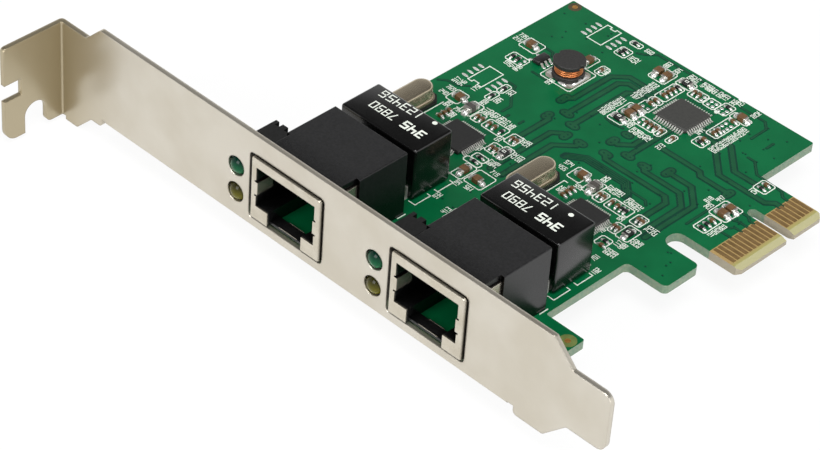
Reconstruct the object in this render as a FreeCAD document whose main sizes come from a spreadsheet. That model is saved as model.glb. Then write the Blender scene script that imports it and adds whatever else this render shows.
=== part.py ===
"""Two-port network interface card with its full-height bracket.

Every sub-part is drawn from one layout corner: x = 0 at the outer side of the
bracket's chassis flange, y = 0 on the bracket's outer face, z = 0 on the
component side of the board.  The part's own origin is the card-edge datum:
the middle of the key slot, on the insertion edge, at the component side.
"""
import FreeCAD
import Part
import Sketcher
import math
import os
import re

# name, value in millimetres (or a count, or degrees), what it measures
SIZES = [
    # card-edge datum, measured from the layout corner
    ("insertion_edge", 105.3, "card edge that enters the slot"),
    ("key_centre", 59.67, "middle of the key slot"),
    ("overcut", 1.0, "how far a cutting profile runs past the material"),
    # circuit board
    ("board_thickness", 1.6, "laminate with copper"),
    ("board_left", 39.52, "edge away from the slot"),
    ("board_beside_port", 1.25, "second port to the long edge beside the slot"),
    ("board_front", 1.2, "edge behind the bracket"),
    ("board_rear", 81.25, "far edge"),
    ("board_corner", 0.3, "radius of the outer corners"),
    ("ear_beyond_screw", 4.44, "second screw to the end of the ear around it"),
    ("ear_rear", 16.99, "rear side of that ear"),
    ("ear_corner", 0.4, "radius at the ear"),
    ("hook_front", 35.38, "front side of the retention hook"),
    ("hook_rear", 43.39, "rear side of the retention hook"),
    ("hook_length", 7.94, "retention hook beyond the long edge"),
    ("hook_corner", 1.0, "radius at the retention hook"),
    ("slot_corner", 1.7, "round end of the slot beside the tongue"),
    ("tongue_long_side", 12.5, "key centre to the tongue's front side"),
    ("tongue_short_side", 8.1, "key centre to the tongue's rear side"),
    ("tongue_corner", 0.7, "cut corners of the tongue"),
    ("key_width", 1.9, "key slot"),
    ("key_depth", 8.6, "key slot from the insertion edge"),
    ("bevel_length", 1.1, "lead-in bevel along the insertion edge"),
    ("bevel_depth", 0.4, "lead-in bevel on each side"),
    ("break_mark_x", 77.15, "half-round mark left by a panel tab"),
    ("break_mark_radius", 0.7, "radius of that mark"),
    # gold fingers
    ("pad_pitch", 1.0, "contact pitch"),
    ("pad_width", 0.7, "contact width"),
    ("pad_length", 4.1, "contact length"),
    ("pad_setback", 1.8, "insertion edge to the contacts"),
    ("pad_key_offset", 1.5, "key centre to the nearest contact"),
    ("pad_thickness", 0.05, "plated contact"),
    ("pad_count_long_side", 11, "contacts before the key"),
    ("pad_count_short_side", 7, "contacts after the key"),
    # bracket
    ("sheet", 0.86, "bracket sheet"),
    ("flange_x", -0.2, "outer side of the chassis flange"),
    ("flange_length", 12.05, "flange from the bracket's face"),
    ("fold_top", 12.2, "upper side of flange and root"),
    ("flange_bottom", -6.3, "lower side of the flange"),
    ("root_bottom", -7.0, "lower side of the plate at the fold"),
    ("root_relief", 1.4, "start of that lower side"),
    ("root_end", 4.25, "end of that lower side"),
    ("shoulder_x", 6.7, "start of the upper slope"),
    ("plate_top", 15.5, "upper side of the plate"),
    ("lobe_bottom", -3.5, "lower side beside the reliefs"),
    ("relief_top", -2.0, "top of the two bend reliefs"),
    ("left_relief", 10.4, "left bend relief"),
    ("left_relief_width", 0.9, "its width"),
    ("relief_beyond_ear", 0.11, "end of the ear to the right bend relief"),
    ("right_relief_width", 1.3, "its width"),
    ("taper_x", 108.0, "start of the upper taper"),
    ("tip_top", 11.5, "upper side of the chassis tongue"),
    ("tip_bottom", 0.75, "lower side of the chassis tongue"),
    ("tip_start", 112.0, "start of the chassis tongue"),
    ("tip_end", 119.45, "end of the chassis tongue"),
    ("tip_radius", 1.8, "its corners"),
    ("outline_radius", 0.8, "other rounded corners"),
    ("fold_radius", 0.3, "inner radius of each fold"),
    ("lip_depth", 6.8, "return lip under the board"),
    ("lip_edge", 0.42, "outer radius of the lip's tight fold"),
    ("notch_centre", -5.75, "screw notch from the bracket's face"),
    ("notch_width", 4.42, "screw notch"),
    ("notch_top", -0.95, "closed end of the screw notch"),
    ("guide_top", 4.95, "upper side of the guide notch"),
    ("guide_height", 3.18, "guide notch"),
    ("guide_depth", 3.5, "guide notch from the flange's end"),
    ("finger_radius", 2.4, "outer corner of the flange"),
    ("inner_finger_radius", 1.2, "flange corner at the screw notch"),
    ("flange_corner", 0.7, "upper corner of the flange"),
    # bracket screws
    ("screw_y", 4.6, "screws from the bracket's face"),
    ("screw_beside_port", 4.7, "each screw from the port to its left"),
    ("screw_diameter", 2.9, "thread"),
    ("screw_clearance", 0.1, "around the thread in the lip"),
    ("board_hole_clearance", 0.3, "around the thread in the board"),
    ("screw_head", 5.4, "head diameter"),
    ("screw_head_height", 1.9, "head height"),
    ("screw_length", 4.6, "under the head"),
    # ports
    ("port_1_x", 45.75, "left side of the first port's shield"),
    ("port_pitch", 30.25, "first port to second port"),
    ("port_side", 0.4, "how far the housing stands out beside its shield"),
    ("port_height", 12.05, "plastic housing"),
    ("port_rear", 17.7, "rear face"),
    ("port_edge", 0.25, "softened edges"),
    ("mouth_width", 12.8, "plug cavity"),
    ("mouth_bottom", 2.6, "floor of the plug cavity"),
    ("mouth_top", 10.1, "roof of the plug cavity"),
    ("mouth_depth", 12.6, "plug cavity from the bracket's face"),
    ("latch_width", 7.5, "latch channel"),
    ("latch_depth", 11.6, "latch channel from the bracket's face"),
    ("sill_front", 0.4, "bar across the foot of the latch channel"),
    ("sill_depth", 2.0, "that bar"),
    ("sill_top", 0.5, "upper side of that bar"),
    ("well_width", 9.4, "well for the contact tails"),
    ("well_depth", 3.6, "well behind the plug cavity"),
    ("peg_diameter", 3.0, "locating pegs"),
    ("peg_clearance", 0.25, "around each peg in the board"),
    ("peg_spacing", 11.43, "between the two pegs"),
    ("peg_y", 9.6, "pegs from the bracket's face"),
    ("peg_length", 3.0, "under the housing"),
    ("window_left", 0.85, "gap left of the shield in the bracket"),
    ("window_right", 0.3, "gap right of the shield in the bracket"),
    ("window_top", 11.95, "upper side of the port windows"),
    ("window_bottom", -0.73, "lower side of the port windows"),
    ("window_corner", 0.8, "radius at the corners of the port windows"),
    # shields
    ("shield_width", 15.25, "front cap"),
    ("shield_top", 11.75, "upper side of the cap"),
    ("shield_bottom", 0.05, "lower edge above the board"),
    ("shield_front", -0.5, "front of the cap"),
    ("shield_sheet", 0.3, "shield sheet"),
    ("shield_gap", 0.05, "shield to plastic"),
    ("shield_top_flap", 3.9, "top flap from the bracket's face"),
    ("shield_side_flap", 7.35, "side flaps from the bracket's face"),
    ("shield_side_top", 10.9, "upper edge of the side flaps"),
    ("shield_bend", 0.55, "outer radius of the upper corners"),
    ("shield_front_bend", 0.38, "outer radius round the front"),
    ("spring_bottom", 4.8, "ground springs"),
    ("spring_height", 2.4, "ground springs"),
    ("spring_depth", 3.4, "ground springs behind the front"),
    ("spring_slit", 0.35, "slits beside the ground springs"),
    # contacts in the ports
    ("contact_count", 8, "contacts in each port"),
    ("contact_pitch", 1.02, "contact pitch"),
    ("contact_width", 0.4, "contact width"),
    ("contact_thickness", 0.25, "contact thickness"),
    ("contact_tail", 0.6, "first row of tails behind the plug cavity"),
    ("contact_stagger", 2.2, "first to second row of tails"),
    ("contact_roof_gap", 0.3, "wires under the cavity's roof"),
    ("contact_front", 2.7, "front bend of the wires"),
    ("contact_bend", 0.6, "height of the front bend"),
    ("contact_tip", 8.6, "free ends of the wires"),
    ("contact_drop", 2.4, "free ends under the upper run"),
    # light pipes
    ("led_beside_port", 3.8, "lights from the port to their right"),
    ("led_upper", 7.2, "upper light above the board"),
    ("led_lower", 2.15, "lower light above the board"),
    ("led_hole", 3.6, "holes in the bracket"),
    ("led_diameter", 3.3, "lens"),
    ("led_front", -0.5, "tip of the lens"),
    ("led_nose", 0.7, "bevel round the tip"),
    ("led_rear", 4.6, "rear of the lamp"),
    ("led_clearance", 0.1, "around lamps and leads in the holder"),
    ("holder_width", 4.3, "holder"),
    ("holder_height", 9.7, "holder"),
    ("holder_front", 1.3, "front face of the holder"),
    ("holder_rear", 10.45, "rear face of the holder"),
    ("holder_fin_slot", 0.85, "slots between the rear fins"),
    ("holder_cheek", 0.7, "how far the outer fins are cut back"),
    ("lead_square", 0.5, "lamp leads"),
    ("lead_spacing", 2.0, "between a lamp's leads"),
    ("upper_lead_y", 9.85, "tails of the upper lamp"),
    ("lower_lead_y", 7.7, "tails of the lower lamp"),
    # transformers
    ("transformer_x", 43.55, "left side of the first transformer"),
    ("transformer_y", 20.9, "front side"),
    ("transformer_length", 16.55, "moulded case"),
    ("transformer_width", 8.45, "moulded case"),
    ("transformer_standoff", 0.3, "case above the board"),
    ("transformer_top", 9.95, "top of the case"),
    ("transformer_parting", 2.4, "parting line above the board"),
    ("transformer_draft", 1.0, "degrees of draft above the parting line"),
    ("transformer_lower_draft", 1.5, "degrees of draft below it"),
    ("transformer_edge", 0.35, "softened top edges"),
    ("transformer_pins_per_side", 12, "pins along each long side"),
    ("transformer_pin_pitch", 1.27, "pin pitch"),
    ("transformer_pin_width", 0.5, "pin width"),
    ("transformer_pin_reach", 1.25, "pin tip from the case"),
    ("transformer_pin_sheet", 0.25, "pin thickness"),
    # flat leaded chips
    ("chip_body", 6.5, "body side at the parting line"),
    ("chip_top", 0.78, "top above the board"),
    ("chip_parting", 0.42, "parting line above the board"),
    ("chip_standoff", 0.1, "body above the board"),
    ("chip_draft", 14, "degrees of draft"),
    ("chip_span", 8.5, "tip to tip of the leads"),
    ("switch_lead_count", 12, "leads on each side of the switch chip"),
    ("switch_lead_pitch", 0.5, "its lead pitch"),
    ("controller_lead_count", 13, "leads on each side of a controller"),
    ("controller_lead_pitch", 0.4, "its lead pitch"),
    ("chip_lead_width", 0.2, "lead width"),
    ("chip_lead_sheet", 0.12, "lead thickness"),
    ("switch_x", 73.85, "chip near the far edge"),
    ("switch_y", 70.2, "chip near the far edge"),
    ("controller_x", 53.4, "first controller"),
    ("controller_y", 38.1, "both controllers"),
    ("controller_pitch", 27.2, "first to second controller"),
    # crystals
    ("crystal_x", 42.4, "first crystal"),
    ("crystal_y", 37.7, "both crystals"),
    ("crystal_pitch", 27.3, "first to second crystal"),
    ("crystal_base_length", 11.4, "plastic base"),
    ("crystal_base_width", 4.8, "plastic base"),
    ("crystal_base_height", 0.7, "plastic base"),
    ("crystal_base_corner", 1.2, "cut corners of the base"),
    ("crystal_rim_length", 11.0, "welded rim"),
    ("crystal_rim_width", 4.55, "welded rim"),
    ("crystal_rim_height", 0.35, "welded rim"),
    ("crystal_can_length", 10.2, "drawn can"),
    ("crystal_can_width", 3.7, "drawn can"),
    ("crystal_top", 3.4, "top of the can"),
    ("crystal_lead_width", 0.6, "flat leads at the ends"),
    ("crystal_lead_length", 0.5, "leads beyond the base"),
    ("crystal_lead_root", 1.5, "leads inside the base"),
    ("crystal_lead_sheet", 0.2, "lead thickness"),
    # power inductor
    ("inductor_x", 53.5, "drum core"),
    ("inductor_y", 64.55, "drum core"),
    ("inductor_flange", 5.6, "core flanges"),
    ("inductor_drum", 2.6, "core between the flanges"),
    ("inductor_foot", 0.12, "terminals under the core"),
    ("inductor_lower_flange", 0.9, "thickness of the lower flange"),
    ("inductor_upper_flange", 0.75, "thickness of the upper flange"),
    ("inductor_top", 3.3, "top of the core"),
    ("winding_diameter", 4.9, "outer layer of the winding"),
    ("terminal_width", 1.5, "terminals"),
    ("terminal_length", 4.4, "terminals"),
    ("terminal_spacing", 4.3, "between the terminals' middles"),
    # small regulator
    ("regulator_x", 47.95, "five-lead regulator"),
    ("regulator_y", 63.95, "five-lead regulator"),
    ("regulator_width", 1.6, "body"),
    ("regulator_length", 2.9, "body"),
    ("regulator_top", 1.0, "top above the board"),
    ("regulator_span", 2.9, "tip to tip of the leads"),
    ("regulator_draft", 5.0, "degrees of draft"),
    ("regulator_pitch", 0.95, "lead pitch"),
    ("regulator_lead_width", 0.4, "lead width"),
]

# Places of the small parts on the board: x, y and the axis that each lies along.
LARGE_CAPACITORS = [
    (63.05, 76.5, "y"), (64.9, 76.5, "y"), (53.3, 69.9, "y"), (60.1, 32.7, "y"),
    (43.9, 65.9, "x"), (67.6, 65.75, "x"), (67.6, 64.05, "x"), (80.7, 77.15, "x"),
    (94.9, 57.35, "x"), (94.8, 55.55, "x"), (46.3, 46.1, "x"), (73.6, 46.0, "x"),
    (63.3, 32.4, "x"),
]
SMALL_CAPACITORS = [
    (67.95, 74.55, "x"), (67.95, 73.45, "x"), (67.95, 72.3, "x"), (67.95, 70.2, "x"),
    (67.95, 68.95, "x"), (71.0, 64.35, "y"), (72.0, 64.35, "y"), (73.0, 64.35, "y"),
    (74.1, 64.35, "y"), (76.6, 64.35, "y"), (70.8, 76.75, "y"), (71.8, 76.75, "y"),
    (80.15, 75.5, "x"), (80.15, 71.6, "x"), (80.15, 70.6, "x"), (80.15, 68.1, "x"),
    (56.4, 69.6, "y"), (51.7, 44.65, "y"), (52.7, 44.65, "y"), (54.3, 44.65, "y"),
    (55.5, 44.65, "y"), (59.5, 44.6, "y"), (60.4, 44.6, "y"), (78.6, 44.5, "y"),
    (79.5, 44.5, "y"), (81.2, 44.5, "y"), (82.4, 44.5, "y"), (86.9, 44.4, "y"),
    (87.7, 44.4, "y"), (58.9, 40.4, "y"), (59.8, 40.4, "y"), (85.4, 40.3, "y"),
    (86.2, 40.3, "y"), (47.5, 42.4, "x"), (47.5, 41.3, "x"), (47.5, 40.2, "x"),
    (74.7, 42.3, "x"), (74.7, 41.2, "x"), (74.7, 40.1, "x"), (94.7, 53.05, "x"),
    (94.6, 66.55, "x"), (87.2, 35.3, "x"),
]
SMALL_RESISTORS = [
    (67.95, 75.7, "x"), (43.95, 61.3, "y"), (45.05, 61.3, "y"), (55.2, 76.85, "x"),
    (55.2, 75.85, "x"), (49.25, 53.55, "y"), (49.25, 50.6, "y"), (57.0, 44.65, "y"),
    (84.1, 44.5, "y"), (83.3, 44.5, "y"), (94.7, 51.85, "x"), (94.7, 50.55, "x"),
    (94.6, 65.4, "x"), (59.5, 37.15, "x"), (59.5, 35.7, "x"), (86.9, 36.6, "x"),
    (77.1, 77.9, "x"), (80.15, 67.1, "x"), (55.1, 79.75, "x"),
]
LARGE_RESISTORS = [
    (68.3, 77.6, "x"), (67.1, 62.0, "x"), (61.25, 40.75, "y"), (88.1, 40.55, "y"),
]
FERRITE_BEADS = [(49.6, 45.15, "y"), (76.9, 45.05, "y")]

# Two-terminal parts: length, width, height and the length of each metal end.
CHIP_SIZES = [
    ("large_capacitor", 2.0, 1.25, 0.85, 0.4),
    ("small_capacitor", 1.05, 0.55, 0.5, 0.25),
    ("small_resistor", 1.05, 0.55, 0.35, 0.22),
    ("large_resistor", 2.0, 1.25, 0.6, 0.4),
    ("ferrite_bead", 2.3, 1.5, 1.1, 0.7),
]
for chip_name, chip_length, chip_width, chip_height, chip_end in CHIP_SIZES:
    SIZES.append((chip_name + "_length", chip_length, "length"))
    SIZES.append((chip_name + "_width", chip_width, "width"))
    SIZES.append((chip_name + "_height", chip_height, "height"))
    SIZES.append((chip_name + "_end", chip_end, "length of each metal end"))

# Places that follow from the sizes above, as formulas in the sheet
SIZES += [
    ("board_right", "=port_1_x + port_pitch + shield_width + board_beside_port",
     "long edge beside the slot"),
    ("screw_1_x", "=port_1_x + shield_width + screw_beside_port",
     "screw between the ports"),
    ("screw_2_x", "=screw_1_x + port_pitch", "screw on the ear"),
    ("ear_end", "=screw_2_x + ear_beyond_screw", "ear that carries the second screw"),
    ("hook_end", "=board_right + hook_length", "end of the retention hook"),
    ("right_relief", "=ear_end + relief_beyond_ear", "right bend relief"),
    ("led_x", "=port_1_x - led_beside_port", "first pair of lights"),
]

doc = FreeCAD.newDocument("NetworkCard")
sheet = doc.addObject("Spreadsheet::Sheet", "Sizes")
for row, (alias, value, meaning) in enumerate(SIZES, 1):
    sheet.set("A%d" % row, alias)
    sheet.set("B%d" % row, str(value))
    sheet.set("C%d" % row, meaning)
    sheet.setAlias("B%d" % row, alias)
doc.recompute()

NAMES = {alias for alias, value, meaning in SIZES}
FAR = 10.0
PEG_FACET = 36
LEAD_HEEL = 0.4
LEAD_KNEE = 0.3
parts = []


def size(alias):
    """A driving size as a number."""
    return float(sheet.get(alias))


def bound(expression):
    """An expression in size names, as the document's expressions want it."""
    def cell(match):
        word = match.group()
        return "Sizes." + word if word in NAMES else word
    return re.sub(r"[a-z][a-z_0-9]*", cell, expression)


def settle(thing, shift_x="0", shift_y="0"):
    """Moves a sub-part from the layout corner to the card-edge datum."""
    thing.setExpression(".Placement.Base.x", bound("%s - insertion_edge" % shift_x))
    thing.setExpression(".Placement.Base.y", bound("%s - key_centre" % shift_y))
    parts.append(thing)
    return thing


def new_body(label, shift_x="0", shift_y="0"):
    body = doc.addObject("PartDesign::Body", label)
    body.Label = label
    body.AllowCompound = True
    return settle(body, shift_x, shift_y)


def new_sketch(body, name, role, offset="0"):
    """A sketch on one of the body's own planes; the offset runs along its normal."""
    plane = next(item for item in body.Origin.OriginFeatures if item.Role == role)
    sketch = body.newObject("Sketcher::SketchObject", name)
    sketch.AttachmentSupport = [(plane, "")]
    sketch.MapMode = "FlatFace"
    sketch.setExpression(".AttachmentOffset.Base.z", bound(offset))
    return sketch


def fix_point(sketch, geometry, position, across, up):
    """Ties one point of the sketch to two sheet expressions."""
    for kind, expression in (("DistanceX", across), ("DistanceY", up)):
        point = sketch.getPoint(geometry, position)
        start = point.x if kind == "DistanceX" else point.y
        index = sketch.addConstraint(
            Sketcher.Constraint(kind, -1, 1, geometry, position, start))
        sketch.setExpression("Constraints[%d]" % index, bound(expression))


def polygon(sketch, corners):
    """Straight sides through corners that are given as pairs of expressions."""
    count = len(corners)
    first = sketch.GeometryCount
    ring = [FreeCAD.Vector(FAR * math.cos(math.tau * step / count),
                           FAR * math.sin(math.tau * step / count), 0)
            for step in range(count)]
    for step in range(count):
        sketch.addGeometry(Part.LineSegment(ring[step], ring[(step + 1) % count]))
    for step in range(count):
        following = first + (step + 1) % count
        sketch.addConstraint(
            Sketcher.Constraint("Coincident", first + step, 2, following, 1))
    for step, (across, up) in enumerate(corners):
        fix_point(sketch, first + step, 1, across, up)
    return sketch


def rectangle(sketch, left, bottom, right, top):
    return polygon(sketch, [(left, bottom), (right, bottom), (right, top), (left, top)])


def circle(sketch, across, up, diameter):
    index = sketch.addGeometry(Part.Circle(FreeCAD.Vector(1, 1, 0),
                                           FreeCAD.Vector(0, 0, 1), 1))
    fix_point(sketch, index, 3, across, up)
    radius = sketch.addConstraint(Sketcher.Constraint("Diameter", index, 2.0))
    sketch.setExpression("Constraints[%d]" % radius, bound(diameter))
    return sketch


def pad(body, name, sketch, length, reverse=False, draft=None):
    feature = body.newObject("PartDesign::Pad", name)
    feature.Profile = sketch
    feature.Reversed = reverse
    feature.setExpression("Length", bound(length))
    if draft:
        feature.setExpression("TaperAngle", bound(draft))
    return feature


def pocket(body, name, sketch, length, reverse=False):
    """Cuts the profile out and makes sure that something was cut."""
    before = volume_of(body)
    feature = body.newObject("PartDesign::Pocket", name)
    feature.Profile = sketch
    feature.Reversed = reverse
    feature.setExpression("Length", bound(length))
    if volume_of(body) > before - 1e-6:
        raise RuntimeError("%s cuts nothing" % name)
    return feature


def volume_of(body):
    doc.recompute()
    return body.Shape.Volume


def edges_near(shape, points):
    """Names of the edges that pass through the given points."""
    names = []
    for point in points:
        vertex = Part.Vertex(point)
        for index, edge in enumerate(shape.Edges, 1):
            if edge.distToShape(vertex)[0] < 1e-4:
                names.append("Edge%d" % index)
    return names


def corner_points(sketch, indexes, along):
    """Points half-way up the edges that grow from corners of a profile."""
    placement = sketch.getGlobalPlacement()
    inverse = sketch.getParentGeoFeatureGroup().Placement.inverse()
    placement = inverse.multiply(placement)
    lift = placement.Rotation.multVec(FreeCAD.Vector(0, 0, along / 2))
    return [placement.multVec(sketch.getPoint(index, 1)) + lift for index in indexes]


def round_edges(body, name, points, radius):
    """Rounds the edges of the body's last feature that pass the given points."""
    doc.recompute()
    base = body.Tip
    names = edges_near(base.Shape, points)
    if not names:
        raise RuntimeError("%s finds no edge" % name)
    feature = body.newObject("PartDesign::Fillet", name)
    feature.Base = (base, names)
    feature.setExpression("Radius", bound(radius))
    return feature


def bevel_edges(body, name, points, setback):
    doc.recompute()
    base = body.Tip
    feature = body.newObject("PartDesign::Chamfer", name)
    feature.Base = (base, edges_near(base.Shape, points))
    feature.setExpression("Size", bound(setback))
    return feature


def shape_part(label, shape):
    """A sub-part that is one formed piece or a group of like pieces."""
    feature = doc.addObject("Part::Feature", label)
    feature.Label = label
    feature.Shape = Part.makeCompound(shape if isinstance(shape, list) else [shape])
    return settle(feature)


def bent_strip(path, thickness, width):
    """A flat strip folded along a path of (reach, height) points.

    The path is the strip's middle; the strip lies across the first axis, so it
    reaches along x and is as wide as `width` along y.
    """
    points = [FreeCAD.Vector(reach, 0, height) for reach, height in path]
    normals = []
    for start, end in zip(points, points[1:]):
        run = (end - start).normalize()
        normals.append(FreeCAD.Vector(-run.z, 0, run.x))
    sides = []
    for index, point in enumerate(points):
        before = normals[max(index - 1, 0)]
        after = normals[min(index, len(normals) - 1)]
        mitre = (before + after).normalize()
        sides.append(mitre * (thickness / 2 / mitre.dot(before)))
    upper = [point + side for point, side in zip(points, sides)]
    lower = [point - side for point, side in zip(points, sides)]
    ring = upper + lower[::-1]
    face = Part.Face(Part.makePolygon(ring + ring[:1]))
    face.translate(FreeCAD.Vector(0, -width / 2, 0))
    return face.extrude(FreeCAD.Vector(0, width, 0))


def turned(shape, x, y, degrees):
    """A copy turned about its own z axis and set down at x, y."""
    copy = shape.copy()
    copy.rotate(FreeCAD.Vector(0, 0, 0), FreeCAD.Vector(0, 0, 1), degrees)
    copy.translate(FreeCAD.Vector(x, y, 0))
    return copy


# ---------------------------------------------------------------- circuit board
def circuit_board():
    """Laminate routed to the card outline, with a slot-side tongue and hook."""
    body = new_body("circuit_board")
    outline = new_sketch(body, "board_outline", "XY_Plane")
    front = "key_centre - tongue_long_side"
    rear = "key_centre + tongue_short_side"
    polygon(outline, [
        ("board_left", "board_front"), ("ear_end", "board_front"),
        ("ear_end", "ear_rear"), ("board_right", "ear_rear"),
        ("board_right", "hook_front"), ("hook_end", "hook_front"),
        ("hook_end", "hook_rear"), ("board_right", "hook_rear"),
        ("board_right", front), ("insertion_edge", front),
        ("insertion_edge", rear), ("board_right", rear),
        ("board_right", "board_rear"), ("board_left", "board_rear"),
    ])
    thickness = size("board_thickness")
    pad(body, "laminate", outline, "board_thickness", reverse=True)
    doc.recompute()
    round_edges(body, "outer_corners",
                corner_points(outline, [0, 12, 13], -thickness), "board_corner")
    round_edges(body, "ear_corners",
                corner_points(outline, [1, 2, 3], -thickness), "ear_corner")
    round_edges(body, "hook_corners",
                corner_points(outline, [4, 5, 6], -thickness), "hook_corner")
    round_edges(body, "slot_end",
                corner_points(outline, [7, 8], -thickness), "slot_corner")
    bevel_edges(body, "tongue_corners",
                corner_points(outline, [9, 10], -thickness), "tongue_corner")
    holes = new_sketch(body, "drilling", "XY_Plane")
    for screw in ("screw_1_x", "screw_2_x"):
        circle(holes, screw, "screw_y", "screw_diameter + 2 * board_hole_clearance")
    for port in ("0", "port_pitch"):
        for side in ("-", "+"):
            middle = "port_1_x + shield_width / 2 + %s %s peg_spacing / 2" % (port, side)
            circle(holes, middle, "peg_y", "peg_diameter + 2 * peg_clearance")
    circle(holes, "break_mark_x", "board_rear + break_mark_radius / 2",
           "2 * break_mark_radius")
    pocket(body, "drilled_holes", holes, "board_thickness")
    key = new_sketch(body, "key_outline", "XY_Plane")
    key_end = "insertion_edge - key_depth + key_width / 2"
    rectangle(key, key_end, "key_centre - key_width / 2",
              "insertion_edge + overcut", "key_centre + key_width / 2")
    pocket(body, "key_slot", key, "board_thickness")
    rounding = new_sketch(body, "key_end", "XY_Plane")
    circle(rounding, key_end, "key_centre", "key_width")
    pocket(body, "key_round_end", rounding, "board_thickness")
    bevel = new_sketch(body, "bevel_outline", "XZ_Plane", "-board_front")
    for level, way in (("0", "-"), ("-board_thickness", "+")):
        polygon(bevel, [("insertion_edge - bevel_length", level),
                        ("insertion_edge + overcut", level),
                        ("insertion_edge + overcut", "%s %s bevel_depth * (bevel_length + overcut)"
                         " / bevel_length" % (level, way))])
    pocket(body, "lead_in_bevel", bevel, "board_rear - board_front")
    return body


def edge_contacts():
    """Plated contacts on both sides of the tongue."""
    length = size("pad_length")
    width = size("pad_width")
    thick = size("pad_thickness")
    start = size("insertion_edge") - size("pad_setback") - length
    middles = []
    for index in range(int(size("pad_count_long_side"))):
        middles.append(-size("pad_key_offset") - index * size("pad_pitch"))
    for index in range(int(size("pad_count_short_side"))):
        middles.append(size("pad_key_offset") + index * size("pad_pitch"))
    pads = []
    for middle in middles:
        low = size("key_centre") + middle - width / 2
        for level in (0, -size("board_thickness") - thick):
            corner = FreeCAD.Vector(start, low, level)
            pads.append(Part.makeBox(length, width, thick, corner))
    return shape_part("edge_contacts", pads)


# ---------------------------------------------------------------------- bracket
def bracket():
    """Pressed steel bracket: plate, chassis flange, tongue and return lip."""
    body = new_body("bracket")
    lip_bottom = "-board_thickness - sheet"
    plate = new_sketch(body, "plate_outline", "XZ_Plane")
    polygon(plate, [
        ("flange_x", "fold_top"), ("shoulder_x", "fold_top"),
        ("shoulder_x + plate_top - fold_top", "plate_top"),
        ("taper_x", "plate_top"), ("taper_x + plate_top - tip_top", "tip_top"),
        ("tip_end", "tip_top"), ("tip_end", "tip_bottom"),
        ("tip_start", "tip_bottom"),
        ("tip_start - tip_bottom + lobe_bottom", "lobe_bottom"),
        ("right_relief + right_relief_width", "lobe_bottom"),
        ("right_relief + right_relief_width", "relief_top"),
        ("right_relief", "relief_top"), ("right_relief", lip_bottom),
        ("left_relief + left_relief_width", lip_bottom),
        ("left_relief + left_relief_width", "relief_top"),
        ("left_relief", "relief_top"), ("left_relief", "lobe_bottom"),
        ("root_end + lobe_bottom - root_bottom", "lobe_bottom"),
        ("root_end", "root_bottom"), ("root_relief", "root_bottom"),
        ("root_relief + flange_bottom - root_bottom - root_relief / 2", "flange_bottom"),
        ("flange_x", "flange_bottom"),
    ])
    thick = size("sheet")
    pad(body, "plate", plate, "sheet", reverse=True)
    doc.recompute()
    round_edges(body, "tip_corners", corner_points(plate, [5, 6], -thick), "tip_radius")
    round_edges(body, "outline_corners",
                corner_points(plate, [1, 2, 7, 8, 9, 16, 17, 18], -thick),
                "outline_radius")
    flange = new_sketch(body, "flange_outline", "YZ_Plane", "flange_x")
    polygon(flange, [("sheet", "flange_bottom"), ("-flange_length", "flange_bottom"),
                     ("-flange_length", "fold_top"), ("sheet", "fold_top")])
    pad(body, "flange", flange, "sheet")
    doc.recompute()
    round_edges(body, "flange_finger", corner_points(flange, [1], thick),
                "finger_radius")
    round_edges(body, "flange_upper_corner", corner_points(flange, [2], thick),
                "flange_corner")
    cuts = new_sketch(body, "flange_cuts", "YZ_Plane", "flange_x")
    rectangle(cuts, "-flange_length - overcut", "guide_top - guide_height",
              "-flange_length + guide_depth", "guide_top")
    rectangle(cuts, "notch_centre - notch_width / 2", "flange_bottom - overcut",
              "notch_centre + notch_width / 2", "notch_top - notch_width / 2")
    pocket(body, "flange_notches", cuts, "sheet", reverse=True)
    rounding = new_sketch(body, "notch_end", "YZ_Plane", "flange_x")
    circle(rounding, "notch_centre", "notch_top - notch_width / 2", "notch_width")
    pocket(body, "notch_round_end", rounding, "sheet", reverse=True)
    middle = size("flange_x") + thick / 2
    inner_side = size("notch_centre") + size("notch_width") / 2
    round_edges(body, "inner_finger",
                [FreeCAD.Vector(middle, inner_side, size("flange_bottom"))],
                "inner_finger_radius")
    lip = new_sketch(body, "lip_outline", "YZ_Plane",
                     "left_relief + left_relief_width")
    rectangle(lip, "0", lip_bottom, "lip_depth", "-board_thickness")
    pad(body, "lip", lip, "right_relief - left_relief - left_relief_width")
    long_middle = (size("left_relief") + size("right_relief")) / 2
    low = -size("board_thickness")
    round_edges(body, "lip_fold_inside", [FreeCAD.Vector(long_middle, thick, low)],
                "fold_radius")
    round_edges(body, "lip_fold_outside",
                [FreeCAD.Vector(long_middle, 0, low - thick)], "lip_edge")
    fold_height = (size("fold_top") + size("flange_bottom")) / 2
    round_edges(body, "flange_fold_inside",
                [FreeCAD.Vector(size("flange_x") + thick, 0, fold_height)],
                "fold_radius")
    round_edges(body, "flange_fold_outside",
                [FreeCAD.Vector(size("flange_x"), thick, fold_height)],
                "fold_radius + sheet / 2")
    openings = new_sketch(body, "port_openings", "XZ_Plane")
    for port in ("port_1_x", "port_1_x + port_pitch"):
        rectangle(openings, "%s - window_left" % port, "window_bottom",
                  "%s + shield_width + window_right" % port, "window_top")
    pocket(body, "port_windows", openings, "sheet")
    doc.recompute()
    round_edges(body, "window_corners", corner_points(openings, range(8), -thick),
                "window_corner")
    lights = new_sketch(body, "light_holes", "XZ_Plane")
    for across in ("led_x", "led_x + port_pitch"):
        for up in ("led_lower", "led_upper"):
            circle(lights, across, up, "led_hole")
    pocket(body, "light_windows", lights, "sheet")
    threads = new_sketch(body, "lip_holes", "XY_Plane", lip_bottom)
    for screw in ("screw_1_x", "screw_2_x"):
        circle(threads, screw, "screw_y", "screw_diameter + 2 * screw_clearance")
    pocket(body, "lip_threads", threads, "sheet", reverse=True)
    return body


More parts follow.
